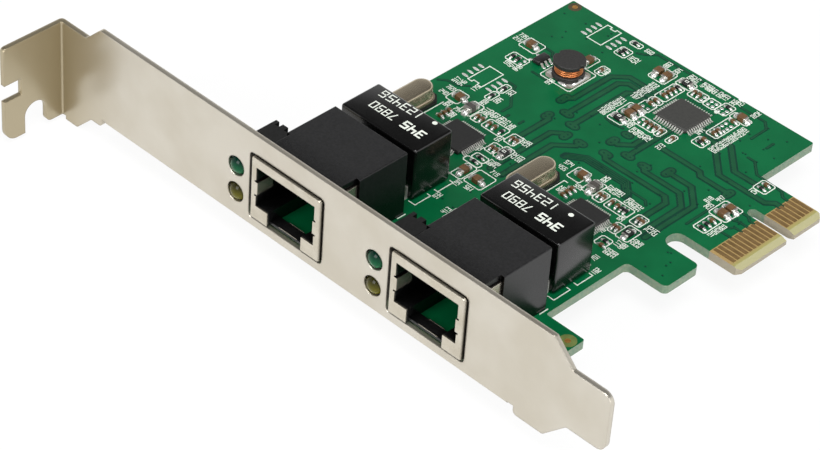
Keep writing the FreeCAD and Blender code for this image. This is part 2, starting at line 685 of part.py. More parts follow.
def bracket_screws():
    """Two screws that clamp the board to the bracket's lip."""
    radius = size("screw_diameter") / 2
    head = Part.makeCylinder(size("screw_head") / 2, size("screw_head_height"))
    shank = Part.makeCylinder(radius, size("screw_length"),
                              FreeCAD.Vector(0, 0, -size("screw_length")))
    screw = head.fuse(shank).removeSplitter()
    places = (size("screw_1_x"), size("screw_2_x"))
    return shape_part("bracket_screws",
                      [turned(screw, x, size("screw_y"), 0) for x in places])


# ------------------------------------------------------------------------ ports
def port_housing(number, shift):
    """Black moulded jack body: plug cavity, latch channel and two pegs."""
    body = new_body("port_%d_housing" % number, shift)
    left = "port_1_x"
    right = "port_1_x + shield_width"
    middle = "port_1_x + shield_width / 2"
    front = "(shield_front + shield_sheet + shield_gap)"
    block = new_sketch(body, "block_outline", "XZ_Plane", "-" + front)
    rectangle(block, "%s - port_side" % left, "0", "%s + port_side" % right,
              "port_height")
    pad(body, "block", block, "port_rear - %s" % front, reverse=True)
    doc.recompute()
    depth = size("port_rear") - size("shield_front") - size("shield_sheet")
    depth -= size("shield_gap")
    round_edges(body, "long_edges",
                corner_points(block, [2, 3], -depth), "port_edge")
    inset = "(shield_sheet + shield_gap)"
    cheeks = new_sketch(body, "flap_recesses", "XY_Plane")
    rectangle(cheeks, "%s - port_side - overcut" % left, "%s - overcut" % front,
              "%s + %s" % (left, inset), "shield_side_flap + shield_gap")
    rectangle(cheeks, "%s - %s" % (right, inset), "%s - overcut" % front,
              "%s + port_side + overcut" % right, "shield_side_flap + shield_gap")
    pocket(body, "flap_seats", cheeks, "port_height + overcut", reverse=True)
    brow = new_sketch(body, "brow_outline", "XZ_Plane", "-(%s - overcut)" % front)
    rectangle(brow, left, "shield_top - %s" % inset, right, "port_height + overcut")
    pocket(body, "top_seat", brow, "shield_top_flap + shield_gap + overcut - %s" % front)
    cavity = new_sketch(body, "cavity_outline", "XZ_Plane", "-" + front)
    rectangle(cavity, "%s - mouth_width / 2" % middle, "mouth_bottom",
              "%s + mouth_width / 2" % middle, "mouth_top")
    pocket(body, "plug_cavity", cavity, "mouth_depth - %s" % front)
    latch = new_sketch(body, "latch_outline", "XZ_Plane", "-" + front)
    rectangle(latch, "%s - latch_width / 2" % middle, "-overcut",
              "%s + latch_width / 2" % middle, "mouth_bottom + overcut")
    pocket(body, "latch_channel", latch, "latch_depth - %s" % front)
    well = new_sketch(body, "well_outline", "XY_Plane")
    rectangle(well, "%s - well_width / 2" % middle, "mouth_depth - overcut",
              "%s + well_width / 2" % middle, "mouth_depth + well_depth")
    pocket(body, "contact_well", well, "mouth_top", reverse=True)
    sill = new_sketch(body, "sill_outline", "XZ_Plane", "-sill_front")
    rectangle(sill, "%s - latch_width / 2" % middle, "shield_bottom",
              "%s + latch_width / 2" % middle, "sill_top")
    pad(body, "sill", sill, "sill_depth", reverse=True)
    pegs = new_sketch(body, "peg_outline", "XY_Plane")
    for side in ("-", "+"):
        across = "%s %s peg_spacing / 2" % (middle, side)
        polygon(pegs, [("%s + peg_diameter / 2 * cos(%d)" % (across, degrees),
                        "peg_y + peg_diameter / 2 * sin(%d)" % degrees)
                       for degrees in range(0, 360, PEG_FACET)])
    pad(body, "pegs", pegs, "peg_length", reverse=True)
    return body


def port_shield(number, shift):
    """Plated sheet cap over the front of the jack, with two ground springs."""
    body = new_body("port_%d_shield" % number, shift)
    left = "port_1_x"
    right = "port_1_x + shield_width"
    middle = "port_1_x + shield_width / 2"
    front = new_sketch(body, "cap_outline", "XZ_Plane", "-shield_front")
    rectangle(front, left, "shield_bottom", right, "shield_top")
    pad(body, "cap", front, "shield_top_flap - shield_front", reverse=True)
    doc.recompute()
    depth = size("shield_top_flap") - size("shield_front")
    round_edges(body, "bent_corners", corner_points(front, [2, 3], -depth), "shield_bend")
    level = size("shield_front")
    centre = size("port_1_x") + size("shield_width") / 2
    halfway = size("shield_top") / 2
    round_edges(body, "bent_edges", [
        FreeCAD.Vector(centre, level, size("shield_top")),
        FreeCAD.Vector(size("port_1_x"), level, halfway),
        FreeCAD.Vector(size("port_1_x") + size("shield_width"), level, halfway),
    ], "shield_front_bend")
    inside = new_sketch(body, "inside_outline", "XZ_Plane",
                        "-(shield_front + shield_sheet)")
    rectangle(inside, "%s + shield_sheet" % left, "-overcut",
              "%s - shield_sheet" % right, "shield_top - shield_sheet")
    pocket(body, "inside", inside, "shield_top_flap - shield_front + overcut")
    trim = new_sketch(body, "flap_trim", "XZ_Plane", "-shield_top_flap")
    rectangle(trim, left, "shield_bottom", "%s + shield_sheet" % left, "shield_side_top")
    rectangle(trim, "%s - shield_sheet" % right, "shield_bottom", right,
              "shield_side_top")
    pad(body, "side_flaps", trim, "shield_side_flap - shield_top_flap", reverse=True)
    mouth = new_sketch(body, "mouth_outline", "XZ_Plane", "-shield_front")
    rectangle(mouth, "%s - mouth_width / 2" % middle, "mouth_bottom",
              "%s + mouth_width / 2" % middle, "mouth_top")
    pocket(body, "mouth", mouth, "shield_sheet")
    latch = new_sketch(body, "latch_outline", "XZ_Plane", "-shield_front")
    rectangle(latch, "%s - latch_width / 2" % middle, "shield_bottom - overcut",
              "%s + latch_width / 2" % middle, "mouth_bottom + overcut")
    pocket(body, "latch_gap", latch, "shield_sheet")
    slits = new_sketch(body, "slit_outline", "XZ_Plane", "-shield_front")
    for low in ("spring_bottom - spring_slit", "spring_bottom + spring_height"):
        rectangle(slits, "%s - mouth_width / 2 - shield_sheet" % middle, low,
                  "%s + mouth_width / 2 + shield_sheet" % middle,
                  "%s + spring_slit" % low)
    pocket(body, "slits", slits, "shield_sheet")
    springs = new_sketch(body, "spring_outline", "XZ_Plane", "-shield_front")
    rectangle(springs, "%s - mouth_width / 2" % middle, "spring_bottom",
              "%s - mouth_width / 2 + shield_sheet" % middle,
              "spring_bottom + spring_height")
    rectangle(springs, "%s + mouth_width / 2 - shield_sheet" % middle, "spring_bottom",
              "%s + mouth_width / 2" % middle, "spring_bottom + spring_height")
    pad(body, "ground_springs", springs, "spring_depth", reverse=True)
    return body


def port_contacts(number, offset):
    """Eight bent wires: tail on the board, up the well, over and back down."""
    level = size("mouth_top") - size("contact_roof_gap")
    front = size("contact_front")
    bend = size("contact_bend")
    thick = size("contact_thickness")
    count = int(size("contact_count"))
    middle = size("port_1_x") + size("shield_width") / 2 + offset
    wires = []
    for index in range(count):
        tail = size("mouth_depth") + size("contact_tail")
        tail += (index % 2) * size("contact_stagger")
        path = [(tail, 0), (tail, level), (front, level), (front, level - bend),
                (size("contact_tip"), level - size("contact_drop"))]
        wire = bent_strip(path, thick, size("contact_width"))
        place = middle + (index - (count - 1) / 2) * size("contact_pitch")
        wires.append(turned(wire, place, 0, 90))
    return shape_part("port_%d_contacts" % number, wires)


# ----------------------------------------------------------------------- lights
def led_holder(number, shift):
    """Two-high right-angle lamp holder with finned back."""
    body = new_body("led_holder_%d" % number, shift)
    block = new_sketch(body, "block_outline", "XY_Plane")
    rectangle(block, "led_x - holder_width / 2", "holder_front",
              "led_x + holder_width / 2", "holder_rear")
    pad(body, "block", block, "holder_height")
    cheek = new_sketch(body, "cheek_outline", "XY_Plane")
    rectangle(cheek, "led_x + lead_spacing / 2 + holder_fin_slot / 2",
              "holder_rear - holder_cheek", "led_x + holder_width / 2 + overcut",
              "holder_rear + overcut")
    pocket(body, "cheek", cheek, "holder_height", reverse=True)
    sockets = new_sketch(body, "socket_outline", "XZ_Plane", "-holder_front")
    half = "(led_diameter / 2 + led_clearance)"
    for up in ("led_lower", "led_upper"):
        rectangle(sockets, "led_x - %s" % half, "%s - %s" % (up, half),
                  "led_x + %s" % half, "%s + %s" % (up, half))
    pocket(body, "sockets", sockets, "led_rear - holder_front")
    room = "(lead_square + 2 * led_clearance) / 2"
    tails = new_sketch(body, "lead_outline", "XY_Plane")
    for side in ("-", "+"):
        lead = "led_x %s lead_spacing / 2" % side
        rectangle(tails, "%s - %s" % (lead, room), "lower_lead_y - %s" % room,
                  "%s + %s" % (lead, room), "lower_lead_y + %s" % room)
    pocket(body, "lower_lead_holes", tails, "led_lower + %s" % room, reverse=True)
    fins = new_sketch(body, "fin_outline", "XY_Plane")
    for side in ("-", "+"):
        lead = "led_x %s lead_spacing / 2" % side
        rectangle(fins, "%s - holder_fin_slot / 2" % lead, "upper_lead_y - %s" % room,
                  "%s + holder_fin_slot / 2" % lead, "holder_rear + overcut")
    pocket(body, "fin_slots", fins, "holder_height", reverse=True)
    for level, reach in (("led_lower", "lower_lead_y"), ("led_upper", "upper_lead_y")):
        runs = new_sketch(body, level + "_runs", "XZ_Plane", "-holder_front")
        for side in ("-", "+"):
            lead = "led_x %s lead_spacing / 2" % side
            rectangle(runs, "%s - %s" % (lead, room), "%s - %s" % (level, room),
                      "%s + %s" % (lead, room), "%s + %s" % (level, room))
        pocket(body, level + "_channels", runs, "%s + %s - holder_front" % (reach, room))
    return body


def lamp(label, height, shift):
    """Plain-barrelled 3 mm lamp with a bevelled nose."""
    body = new_body(label, shift)
    barrel = new_sketch(body, "barrel_outline", "XZ_Plane", "-led_front")
    circle(barrel, "led_x", height, "led_diameter")
    pad(body, "barrel", barrel, "led_rear - led_front", reverse=True)
    nose = FreeCAD.Vector(size("led_x"), size("led_front"),
                          size(height) + size("led_diameter") / 2)
    bevel_edges(body, "nose", [nose], "led_nose")
    return body


def lamp_leads(number, offset):
    """Four square leads, bent down behind the lamps to the board."""
    side = size("lead_square")
    leads = []
    for height, tail in ((size("led_lower"), size("lower_lead_y")),
                         (size("led_upper"), size("upper_lead_y"))):
        lead = bent_strip([(size("led_rear"), height), (tail, height), (tail, 0)],
                          side, side)
        for way in (-0.5, 0.5):
            place = size("led_x") + offset + way * size("lead_spacing")
            leads.append(turned(lead, place, 0, 90))
    return shape_part("led_leads_%d" % number, leads)


# --------------------------------------------------------- transformers and chips
def transformer_case(number, shift):
    """Moulded case with draft both ways from its parting line."""
    body = new_body("transformer_%d_case" % number, shift)
    corners = ("transformer_x", "transformer_y",
               "transformer_x + transformer_length", "transformer_y + transformer_width")
    upper = new_sketch(body, "upper_outline", "XY_Plane", "transformer_parting")
    rectangle(upper, *corners)
    pad(body, "upper_half", upper, "transformer_top - transformer_parting",
        draft="-transformer_draft")
    lower = new_sketch(body, "lower_outline", "XY_Plane", "transformer_parting")
    rectangle(lower, *corners)
    pad(body, "lower_half", lower, "transformer_parting - transformer_standoff",
        reverse=True, draft="-transformer_lower_draft")
    doc.recompute()
    top = size("transformer_top")
    rim = [edge.CenterOfMass for edge in body.Shape.Edges
           if abs(edge.CenterOfMass.z - top) < 1e-6]
    inverse = body.Placement.inverse()
    bevel_edges(body, "top_rim", [inverse.multVec(point) for point in rim],
                "transformer_edge")
    return body


def transformer_pins(number, offset):
    """Gull-wing pins along both long sides."""
    sheet_size = size("transformer_pin_sheet")
    reach = size("transformer_pin_reach")
    height = size("transformer_parting")
    low = sheet_size / 2
    path = [(low, height), (low, low), (reach, low)]
    pin = bent_strip(path, sheet_size, size("transformer_pin_width"))
    count = int(size("transformer_pins_per_side"))
    middle = size("transformer_x") + size("transformer_length") / 2 + offset
    front = size("transformer_y")
    rear = front + size("transformer_width")
    pins = []
    for index in range(count):
        x = middle + (index - (count - 1) / 2) * size("transformer_pin_pitch")
        pins.append(turned(pin, x, rear, 90))
        pins.append(turned(pin, x, front, -90))
    return shape_part("transformer_%d_pins" % number, pins)


def chip_body(label, shift_x, shift_y):
    """Square moulded package with sides drafted both ways from the leads."""
    body = new_body(label, shift_x, shift_y)
    half = "chip_body / 2"
    upper = new_sketch(body, "upper_outline", "XY_Plane", "chip_parting")
    rectangle(upper, "-" + half, "-" + half, half, half)
    pad(body, "upper_half", upper, "chip_top - chip_parting", draft="-chip_draft")
    lower = new_sketch(body, "lower_outline", "XY_Plane", "chip_parting")
    rectangle(lower, "-" + half, "-" + half, half, half)
    pad(body, "lower_half", lower, "chip_parting - chip_standoff", reverse=True,
        draft="-chip_draft")
    return body


def chip_leads(label, kind, x, y):
    """Four rows of leads that slope down to the board."""
    thick = size("chip_lead_sheet")
    reach = (size("chip_span") - size("chip_body")) / 2
    height = size("chip_parting")
    width = size("chip_lead_width")
    side = [(0, height - thick / 2), (reach, 0), (reach, thick),
            (0, height + thick / 2)]
    ring = [FreeCAD.Vector(out, -width / 2, up) for out, up in side]
    lead = Part.Face(Part.makePolygon(ring + ring[:1]))
    lead = lead.extrude(FreeCAD.Vector(0, width, 0))
    count = int(size(kind + "_lead_count"))
    leads = []
    for side in range(4):
        for index in range(count):
            lead_copy = lead.copy()
            along = (index - (count - 1) / 2) * size(kind + "_lead_pitch")
            lead_copy.translate(FreeCAD.Vector(size("chip_body") / 2, along, 0))
            leads.append(turned(lead_copy, x, y, 90 * side))
    return shape_part(label, leads)


# --------------------------------------------------------------------- crystals
def stadium(length, width, height, level):
    """A long rounded slab with its long axis along y."""
    radius = width / 2
    straight = length / 2 - radius
    ends = [FreeCAD.Vector(radius, -straight, level), FreeCAD.Vector(radius, straight, level),
            FreeCAD.Vector(0, straight + radius, level),
            FreeCAD.Vector(-radius, straight, level),
            FreeCAD.Vector(-radius, -straight, level),
            FreeCAD.Vector(0, -straight - radius, level)]
    wire = Part.Wire([
        Part.LineSegment(ends[0], ends[1]).toShape(),
        Part.Arc(ends[1], ends[2], ends[3]).toShape(),
        Part.LineSegment(ends[3], ends[4]).toShape(),
        Part.Arc(ends[4], ends[5], ends[0]).toShape(),
    ])
    return Part.Face(wire).extrude(FreeCAD.Vector(0, 0, height))


def crystal_can(number, offset):
    """Drawn metal can on its welded rim."""
    base = size("crystal_base_height")
    rim = stadium(size("crystal_rim_length"), size("crystal_rim_width"),
                  size("crystal_rim_height"), base)
    can = stadium(size("crystal_can_length"), size("crystal_can_width"),
                  size("crystal_top") - base, base)
    shape = can.fuse(rim).removeSplitter()
    x = size("crystal_x") + offset
    return shape_part("crystal_%d_can" % number, turned(shape, x, size("crystal_y"), 0))


def crystal_base(number, shift):
    """Black plastic carrier with cut corners, under the can."""
    body = new_body("crystal_%d_base" % number, "%s + crystal_x" % shift, "crystal_y")
    across = "crystal_base_width / 2"
    along = "crystal_base_length / 2"
    outline = new_sketch(body, "base_outline", "XY_Plane")
    cut = "crystal_base_corner"
    polygon(outline, [
        ("-" + across, "-" + along), (across, "-" + along),
        (across, "%s - %s" % (along, cut)), ("%s - %s" % (across, cut), along),
        ("%s - %s" % (cut, across), along), ("-" + across, "%s - %s" % (along, cut)),
    ])
    pad(body, "carrier", outline, "crystal_base_height")
    grooves = new_sketch(body, "groove_outline", "XY_Plane")
    room = "crystal_lead_width / 2"
    for way in ("-", "+"):
        inner = "0 %s (%s - crystal_lead_root)" % (way, along)
        outer = "0 %s (%s + overcut)" % (way, along)
        rectangle(grooves, "-" + room, inner, room, outer)
    pocket(body, "lead_grooves", grooves, "crystal_lead_sheet", reverse=True)
    return body


def crystal_leads(number, offset):
    """Flat leads in the base's grooves, one out of each end."""
    root = size("crystal_lead_root")
    length = size("crystal_lead_length") + root
    width = size("crystal_lead_width")
    start = size("crystal_base_length") / 2 - root
    lead = Part.makeBox(length, width, size("crystal_lead_sheet"),
                        FreeCAD.Vector(start, -width / 2, 0))
    x = size("crystal_x") + offset
    y = size("crystal_y")
    return shape_part("crystal_%d_leads" % number,
                      [turned(lead, x, y, 90), turned(lead, x, y, -90)])


# --------------------------------------------------------------- power inductor
def inductor_core():
    """Ferrite drum: two flanges on a waist, turned in one piece."""
    body = new_body("inductor_core", "inductor_x", "inductor_y")
    section = new_sketch(body, "half_section", "XZ_Plane")
    low = "inductor_foot"
    waist = "inductor_foot + inductor_lower_flange"
    neck = "inductor_top - inductor_upper_flange"
    outer = "inductor_flange / 2"
    polygon(section, [
        ("0", low), (outer, low), (outer, waist), ("inductor_drum / 2", waist),
        ("inductor_drum / 2", neck), (outer, neck), (outer, "inductor_top"),
        ("0", "inductor_top"),
    ])
    turn = body.newObject("PartDesign::Revolution", "turned_core")
    turn.Profile = section
    turn.ReferenceAxis = (section, ["V_Axis"])
    turn.Angle = 360
    return body


def inductor_winding():
    """Copper coil as a sleeve on the drum's waist."""
    body = new_body("inductor_winding", "inductor_x", "inductor_y")
    bottom = "(inductor_foot + inductor_lower_flange)"
    ring = new_sketch(body, "coil_outline", "XY_Plane", bottom)
    circle(ring, "0", "0", "winding_diameter")
    circle(ring, "0", "0", "inductor_drum")
    pad(body, "coil", ring, "inductor_top - inductor_upper_flange - %s" % bottom)
    return body


def inductor_terminals():
    """Two flat solder terminals under the lower flange."""
    width = size("terminal_width")
    length = size("terminal_length")
    plates = []
    for way in (-0.5, 0.5):
        middle = size("inductor_x") + way * size("terminal_spacing")
        corner = FreeCAD.Vector(middle - width / 2, size("inductor_y") - length / 2, 0)
        plates.append(Part.makeBox(width, length, size("inductor_foot"), corner))
    return shape_part("inductor_terminals", plates)


# -------------------------------------------------------------- small regulator
def regulator_body():
    body = new_body("regulator_body", "regulator_x", "regulator_y")
    outline = new_sketch(body, "body_outline", "XY_Plane", "chip_standoff")
    rectangle(outline, "-regulator_width / 2", "-regulator_length / 2",
              "regulator_width / 2", "regulator_length / 2")
    pad(body, "moulding", outline, "regulator_top - chip_standoff",
        draft="-regulator_draft")
    return body


def regulator_leads():
    """Three leads on one side and two on the other."""
    thick = size("chip_lead_sheet")
    reach = (size("regulator_span") - size("regulator_width")) / 2
    height = size("regulator_top") / 2
    path = [(0.0, height), (reach * LEAD_KNEE, height),
            (reach * LEAD_HEEL, thick / 2), (reach, thick / 2)]
    lead = bent_strip(path, thick, size("regulator_lead_width"))
    lead.translate(FreeCAD.Vector(size("regulator_width") / 2, 0, 0))
    x = size("regulator_x")
    y = size("regulator_y")
    pitch = size("regulator_pitch")
    leads = [turned(lead, x, y + step * pitch, 0) for step in (-1, 0, 1)]
    leads += [turned(lead, x, y + step * pitch, 180) for step in (-1, 1)]
    return shape_part("regulator_leads", leads)


# ----------------------------------------------------------- two-terminal parts
def terminal_parts(kind, places):
    """Bodies and metal ends of the like two-terminal parts, as two groups."""
    length = size(kind + "_length")
    width = size(kind + "_width")
    height = size(kind + "_height")
    end = size(kind + "_end")
    inner = length - 2 * end
    middle = Part.makeBox(inner, width, height, FreeCAD.Vector(-inner / 2, -width / 2, 0))
    cap = Part.makeBox(end, width, height, FreeCAD.Vector(inner / 2, -width / 2, 0))
    bodies = []
    ends = []
    for x, y, axis in places:
        quarter = 90 if axis == "y" else 0
        bodies.append(turned(middle, x, y, quarter))
        ends.append(turned(cap, x, y, quarter))
        ends.append(turned(cap, x, y, quarter + 180))
    shape_part(kind + "_bodies", bodies)
    shape_part(kind + "_ends", ends)


# --------------------------------------------------------------------- assembly
circuit_board()
edge_contacts()
bracket()
bracket_screws()
for number, shift, offset in ((1, "0", 0.0), (2, "port_pitch", size("port_pitch"))):
    port_housing(number, shift)
    port_shield(number, shift)
    port_contacts(number, offset)
    led_holder(number, shift)
    lamp("green_led_%d" % number, "led_upper", shift)
    lamp("yellow_led_%d" % number, "led_lower", shift)
    lamp_leads(number, offset)
for number, step in ((1, 0), (2, 1)):
    transformer_case(number, "%d * port_pitch" % step)
    transformer_pins(number, step * size("port_pitch"))
    crystal_can(number, step * size("crystal_pitch"))
    crystal_base(number, "%d * crystal_pitch" % step)
    crystal_leads(number, step * size("crystal_pitch"))
    chip_body("controller_%d_body" % number, "controller_x + %d * controller_pitch" % step,
              "controller_y")
    chip_leads("controller_%d_leads" % number, "controller",
               size("controller_x") + step * size("controller_pitch"),
               size("controller_y"))
chip_body("switch_chip_body", "switch_x", "switch_y")
chip_leads("switch_chip_leads", "switch", size("switch_x"), size("switch_y"))
inductor_core()
inductor_winding()
inductor_terminals()
regulator_body()
regulator_leads()
terminal_parts("large_capacitor", LARGE_CAPACITORS)
terminal_parts("small_capacitor", SMALL_CAPACITORS)
terminal_parts("small_resistor", SMALL_RESISTORS)
terminal_parts("large_resistor", LARGE_RESISTORS)
terminal_parts("ferrite_bead", FERRITE_BEADS)
doc.recompute()

for item in doc.Objects:
    if "Invalid" in item.State or "Error" in item.State:
        raise RuntimeError("%s: %s" % (item.Name, item.State))
for part in parts:
    if part.Shape.isNull() or not part.Shape.isValid():
        raise RuntimeError("%s has no valid shape" % part.Label)

os.makedirs("parts", exist_ok=True)
for part in parts:
    part.Shape.exportStep("parts/%s.step" % part.Label)
print(len(parts), "parts written")
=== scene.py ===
"""A two-port network card on its bracket, dressed in the order it is put together.

Lengths in the sections are millimetres from the bracket's corner: x runs the way
the card goes into its slot, y away from the bracket's face and z up from the
component side.  piece() turns them into metres from the card-edge datum.
"""
import bmesh
import bpy
import math
import numpy as np
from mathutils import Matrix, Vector


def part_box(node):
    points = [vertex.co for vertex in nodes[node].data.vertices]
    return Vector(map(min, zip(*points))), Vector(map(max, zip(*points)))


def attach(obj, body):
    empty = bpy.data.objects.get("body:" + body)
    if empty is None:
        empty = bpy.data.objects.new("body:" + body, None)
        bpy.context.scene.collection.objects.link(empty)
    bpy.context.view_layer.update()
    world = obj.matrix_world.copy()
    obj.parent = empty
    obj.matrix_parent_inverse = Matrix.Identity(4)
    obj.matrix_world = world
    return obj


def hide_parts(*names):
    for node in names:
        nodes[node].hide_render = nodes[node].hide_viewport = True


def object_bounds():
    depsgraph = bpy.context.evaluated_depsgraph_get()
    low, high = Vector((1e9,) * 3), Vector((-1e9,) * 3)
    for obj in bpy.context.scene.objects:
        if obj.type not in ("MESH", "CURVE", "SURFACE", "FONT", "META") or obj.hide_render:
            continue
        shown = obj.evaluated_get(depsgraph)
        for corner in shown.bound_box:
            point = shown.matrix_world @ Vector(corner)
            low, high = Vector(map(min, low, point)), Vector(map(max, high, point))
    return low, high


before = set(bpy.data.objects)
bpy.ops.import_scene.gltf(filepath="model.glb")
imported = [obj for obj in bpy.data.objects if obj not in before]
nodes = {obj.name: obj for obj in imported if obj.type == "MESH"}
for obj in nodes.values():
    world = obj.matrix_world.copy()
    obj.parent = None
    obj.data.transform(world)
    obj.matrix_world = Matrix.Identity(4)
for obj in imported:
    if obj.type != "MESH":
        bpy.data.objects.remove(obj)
cad_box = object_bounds()

# ---------------------------------------------------------------- the laminate
# A 1.6 mm glass-epoxy board, routed to its outline and dipped in glossy green
# solder mask.  The routed edges show the pale resin and glass, and the mask
# stops short of the card-edge contacts.

# The card-edge datum, in millimetres from the bracket's corner.
DATUM = np.array([105.3, 59.67, 0.0])


def linear(code):
    """sRGB hex to linear light: a straight toe, then the 2.4 power."""
    value = np.array([int(code[at:at + 2], 16) for at in (1, 3, 5)]) / 255
    toe = value / 12.92
    return (*np.where(value <= 0.04045, toe, ((value + 0.055) / 1.055) ** 2.4), 1.0)


def add(tree, kind, inputs=(), **settings):
    """Adds one node; its sockets take a value or a link to another socket."""
    made = tree.nodes.new(kind)
    for name, value in settings.items():
        setattr(made, name, value)
    for socket, value in dict(inputs).items():
        if isinstance(value, bpy.types.NodeSocket):
            tree.links.new(value, made.inputs[socket])
        else:
            made.inputs[socket].default_value = value
    return made


def mottled(name, base, fleck, grain, amount, bump=0.0, edge=0.0, **sockets):
    """A finish that drifts from one colour to another over grains of a size in mm.

    The drift is layered noise whose scale is one over the grain, stretched from the
    0.35 to 0.65 that it seldom leaves.  The same noise lifts the surface by the bump,
    and sharp edges catch light as if rounded by the edge, both in mm.
    """
    made = bpy.data.materials.new(name)
    made.use_nodes = True
    tree = made.node_tree
    shader = tree.nodes["Principled BSDF"]
    for socket, value in sockets.items():
        shader.inputs[socket.replace("_", " ")].default_value = value
    place = add(tree, "ShaderNodeTexCoord").outputs["Object"]
    noise = add(tree, "ShaderNodeTexNoise", {"Vector": place, "Scale": 1000 / grain,
                                             "Detail": 3.0}).outputs["Fac"]
    share = add(tree, "ShaderNodeMapRange", {"Value": noise, "From Min": 0.35,
                                             "From Max": 0.65, "To Max": amount})
    colour = add(tree, "ShaderNodeMix", {0: share.outputs[0], 6: linear(base),
                                         7: linear(fleck)}, data_type="RGBA")
    tree.links.new(colour.outputs[2], shader.inputs["Base Color"])
    surface = {}
    if edge:
        rounded = add(tree, "ShaderNodeBevel", {"Radius": edge / 1000}, samples=6)
        surface["Normal"] = rounded.outputs[0]
    if bump:
        lift = add(tree, "ShaderNodeBump", {"Height": noise, "Distance": bump / 1000,
                                            **surface})
        surface["Normal"] = lift.outputs[0]
    for socket, source in surface.items():
        tree.links.new(source, shader.inputs[socket])
    return made


def dress(node, finish):
    """Gives a solid of the frame its finish, in every slot it has."""
    slots = nodes[node].data.materials
    for at in range(len(slots)):
        slots[at] = finish


# Cured solder mask is a deep green glossy skin, whose shade drifts over centimetres
# with its thickness.  Routed walls show pale glass cloth, drawn at 0.7 mm, coarser
# than its threads, so that it shows; bare laminate is tan.
solder_mask = mottled("glossy_solder_mask", "#015731", "#035F36", 7.0, 1.0,
                      Roughness=0.28, Specular_IOR_Level=0.25)
pads_low, pads_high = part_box("edge_contacts")
mask_end = pads_low[0] - 0.0002
tongue_side = pads_low[1] - 0.00085
tree = solder_mask.node_tree
shader = tree.nodes["Principled BSDF"]
mask_colour = shader.inputs["Base Color"].links[0].from_socket
place = add(tree, "ShaderNodeSeparateXYZ",
            {0: add(tree, "ShaderNodeTexCoord").outputs["Object"]})
beyond_mask = add(tree, "ShaderNodeMath", {0: place.outputs["X"], 1: mask_end},
                  operation="GREATER_THAN")
on_tongue = add(tree, "ShaderNodeMath", {0: place.outputs["Y"], 1: tongue_side},
                operation="GREATER_THAN")
bare = add(tree, "ShaderNodeMath", {0: beyond_mask.outputs[0], 1: on_tongue.outputs[0]},
           operation="MULTIPLY")
resin = add(tree, "ShaderNodeMapRange", {"Value": place.outputs["X"],
                                         "From Min": pads_high[0] - 0.0003,
                                         "From Max": pads_high[0] + 0.0006})
tan = add(tree, "ShaderNodeMix", {0: resin.outputs[0], 6: linear("#9C8355"),
                                  7: linear("#96915A")}, data_type="RGBA")
laminate = add(tree, "ShaderNodeMix", {0: bare.outputs[0], 6: mask_colour,
                                       7: tan.outputs[2]}, data_type="RGBA")

# A face that is turned well away from the upright is a routed wall, and one that is
# turned a little is the bevel that leads the tongue into its slot.
facing = add(tree, "ShaderNodeSeparateXYZ",
             {0: add(tree, "ShaderNodeNewGeometry").outputs["Normal"]})
steep = add(tree, "ShaderNodeMath", {0: facing.outputs["Z"]}, operation="ABSOLUTE")
routed = add(tree, "ShaderNodeMath", {0: steep.outputs[0], 1: 0.25},
             operation="LESS_THAN")
glassy = add(tree, "ShaderNodeTexNoise", {
    "Vector": add(tree, "ShaderNodeTexCoord").outputs["Object"], "Scale": 1000 / 0.7})
wall = add(tree, "ShaderNodeMix", {0: glassy.outputs["Fac"], 6: linear("#4F7A68"),
                                   7: linear("#8C9078")}, data_type="RGBA")
tongue_wall = add(tree, "ShaderNodeMix", {0: bare.outputs[0], 6: wall.outputs[2],
                                          7: linear("#968E7C")}, data_type="RGBA")
sloped = add(tree, "ShaderNodeMath", {0: steep.outputs[0], 1: 0.98},
             operation="LESS_THAN")
bevelled = add(tree, "ShaderNodeMix", {0: sloped.outputs[0], 6: laminate.outputs[2],
                                       7: linear("#A39F79")}, data_type="RGBA")
whole = add(tree, "ShaderNodeMix", {0: routed.outputs[0], 6: bevelled.outputs[2],
                                    7: tongue_wall.outputs[2]}, data_type="RGBA")
tree.links.new(whole.outputs[2], shader.inputs["Base Color"])
dress("circuit_board", solder_mask)

# ------------------------------------------------------- the copper under the mask
# Etched copper, which shows through the mask as raised darker green runs.  The
# fast signals run in pairs with a gap each side, from via to via.


def skin(rows, around, closed=False):
    """Quads over a grid whose columns close on themselves.

    The last row either meets the first again, or both are capped.
    """
    row, column = np.mgrid[:rows - (not closed), :around]
    beside, beyond = (column + 1) % around, (row + 1) % rows
    quads = np.stack([row * around + column, row * around + beside,
                      beyond * around + beside, beyond * around + column], -1)
    first = np.arange(around)
    caps = [] if closed else [first[::-1].tolist(), (first + (rows - 1) * around).tolist()]
    return quads.reshape(-1, 4).tolist() + caps


def joined(shapes):
    """Several shapes as one set of points and faces."""
    points, faces, start = [], [], 0
    for own_points, own_faces in shapes:
        points.append(own_points)
        faces += [[at + start for at in face] for face in own_faces]
        start += len(own_points)
    return np.concatenate(points), faces


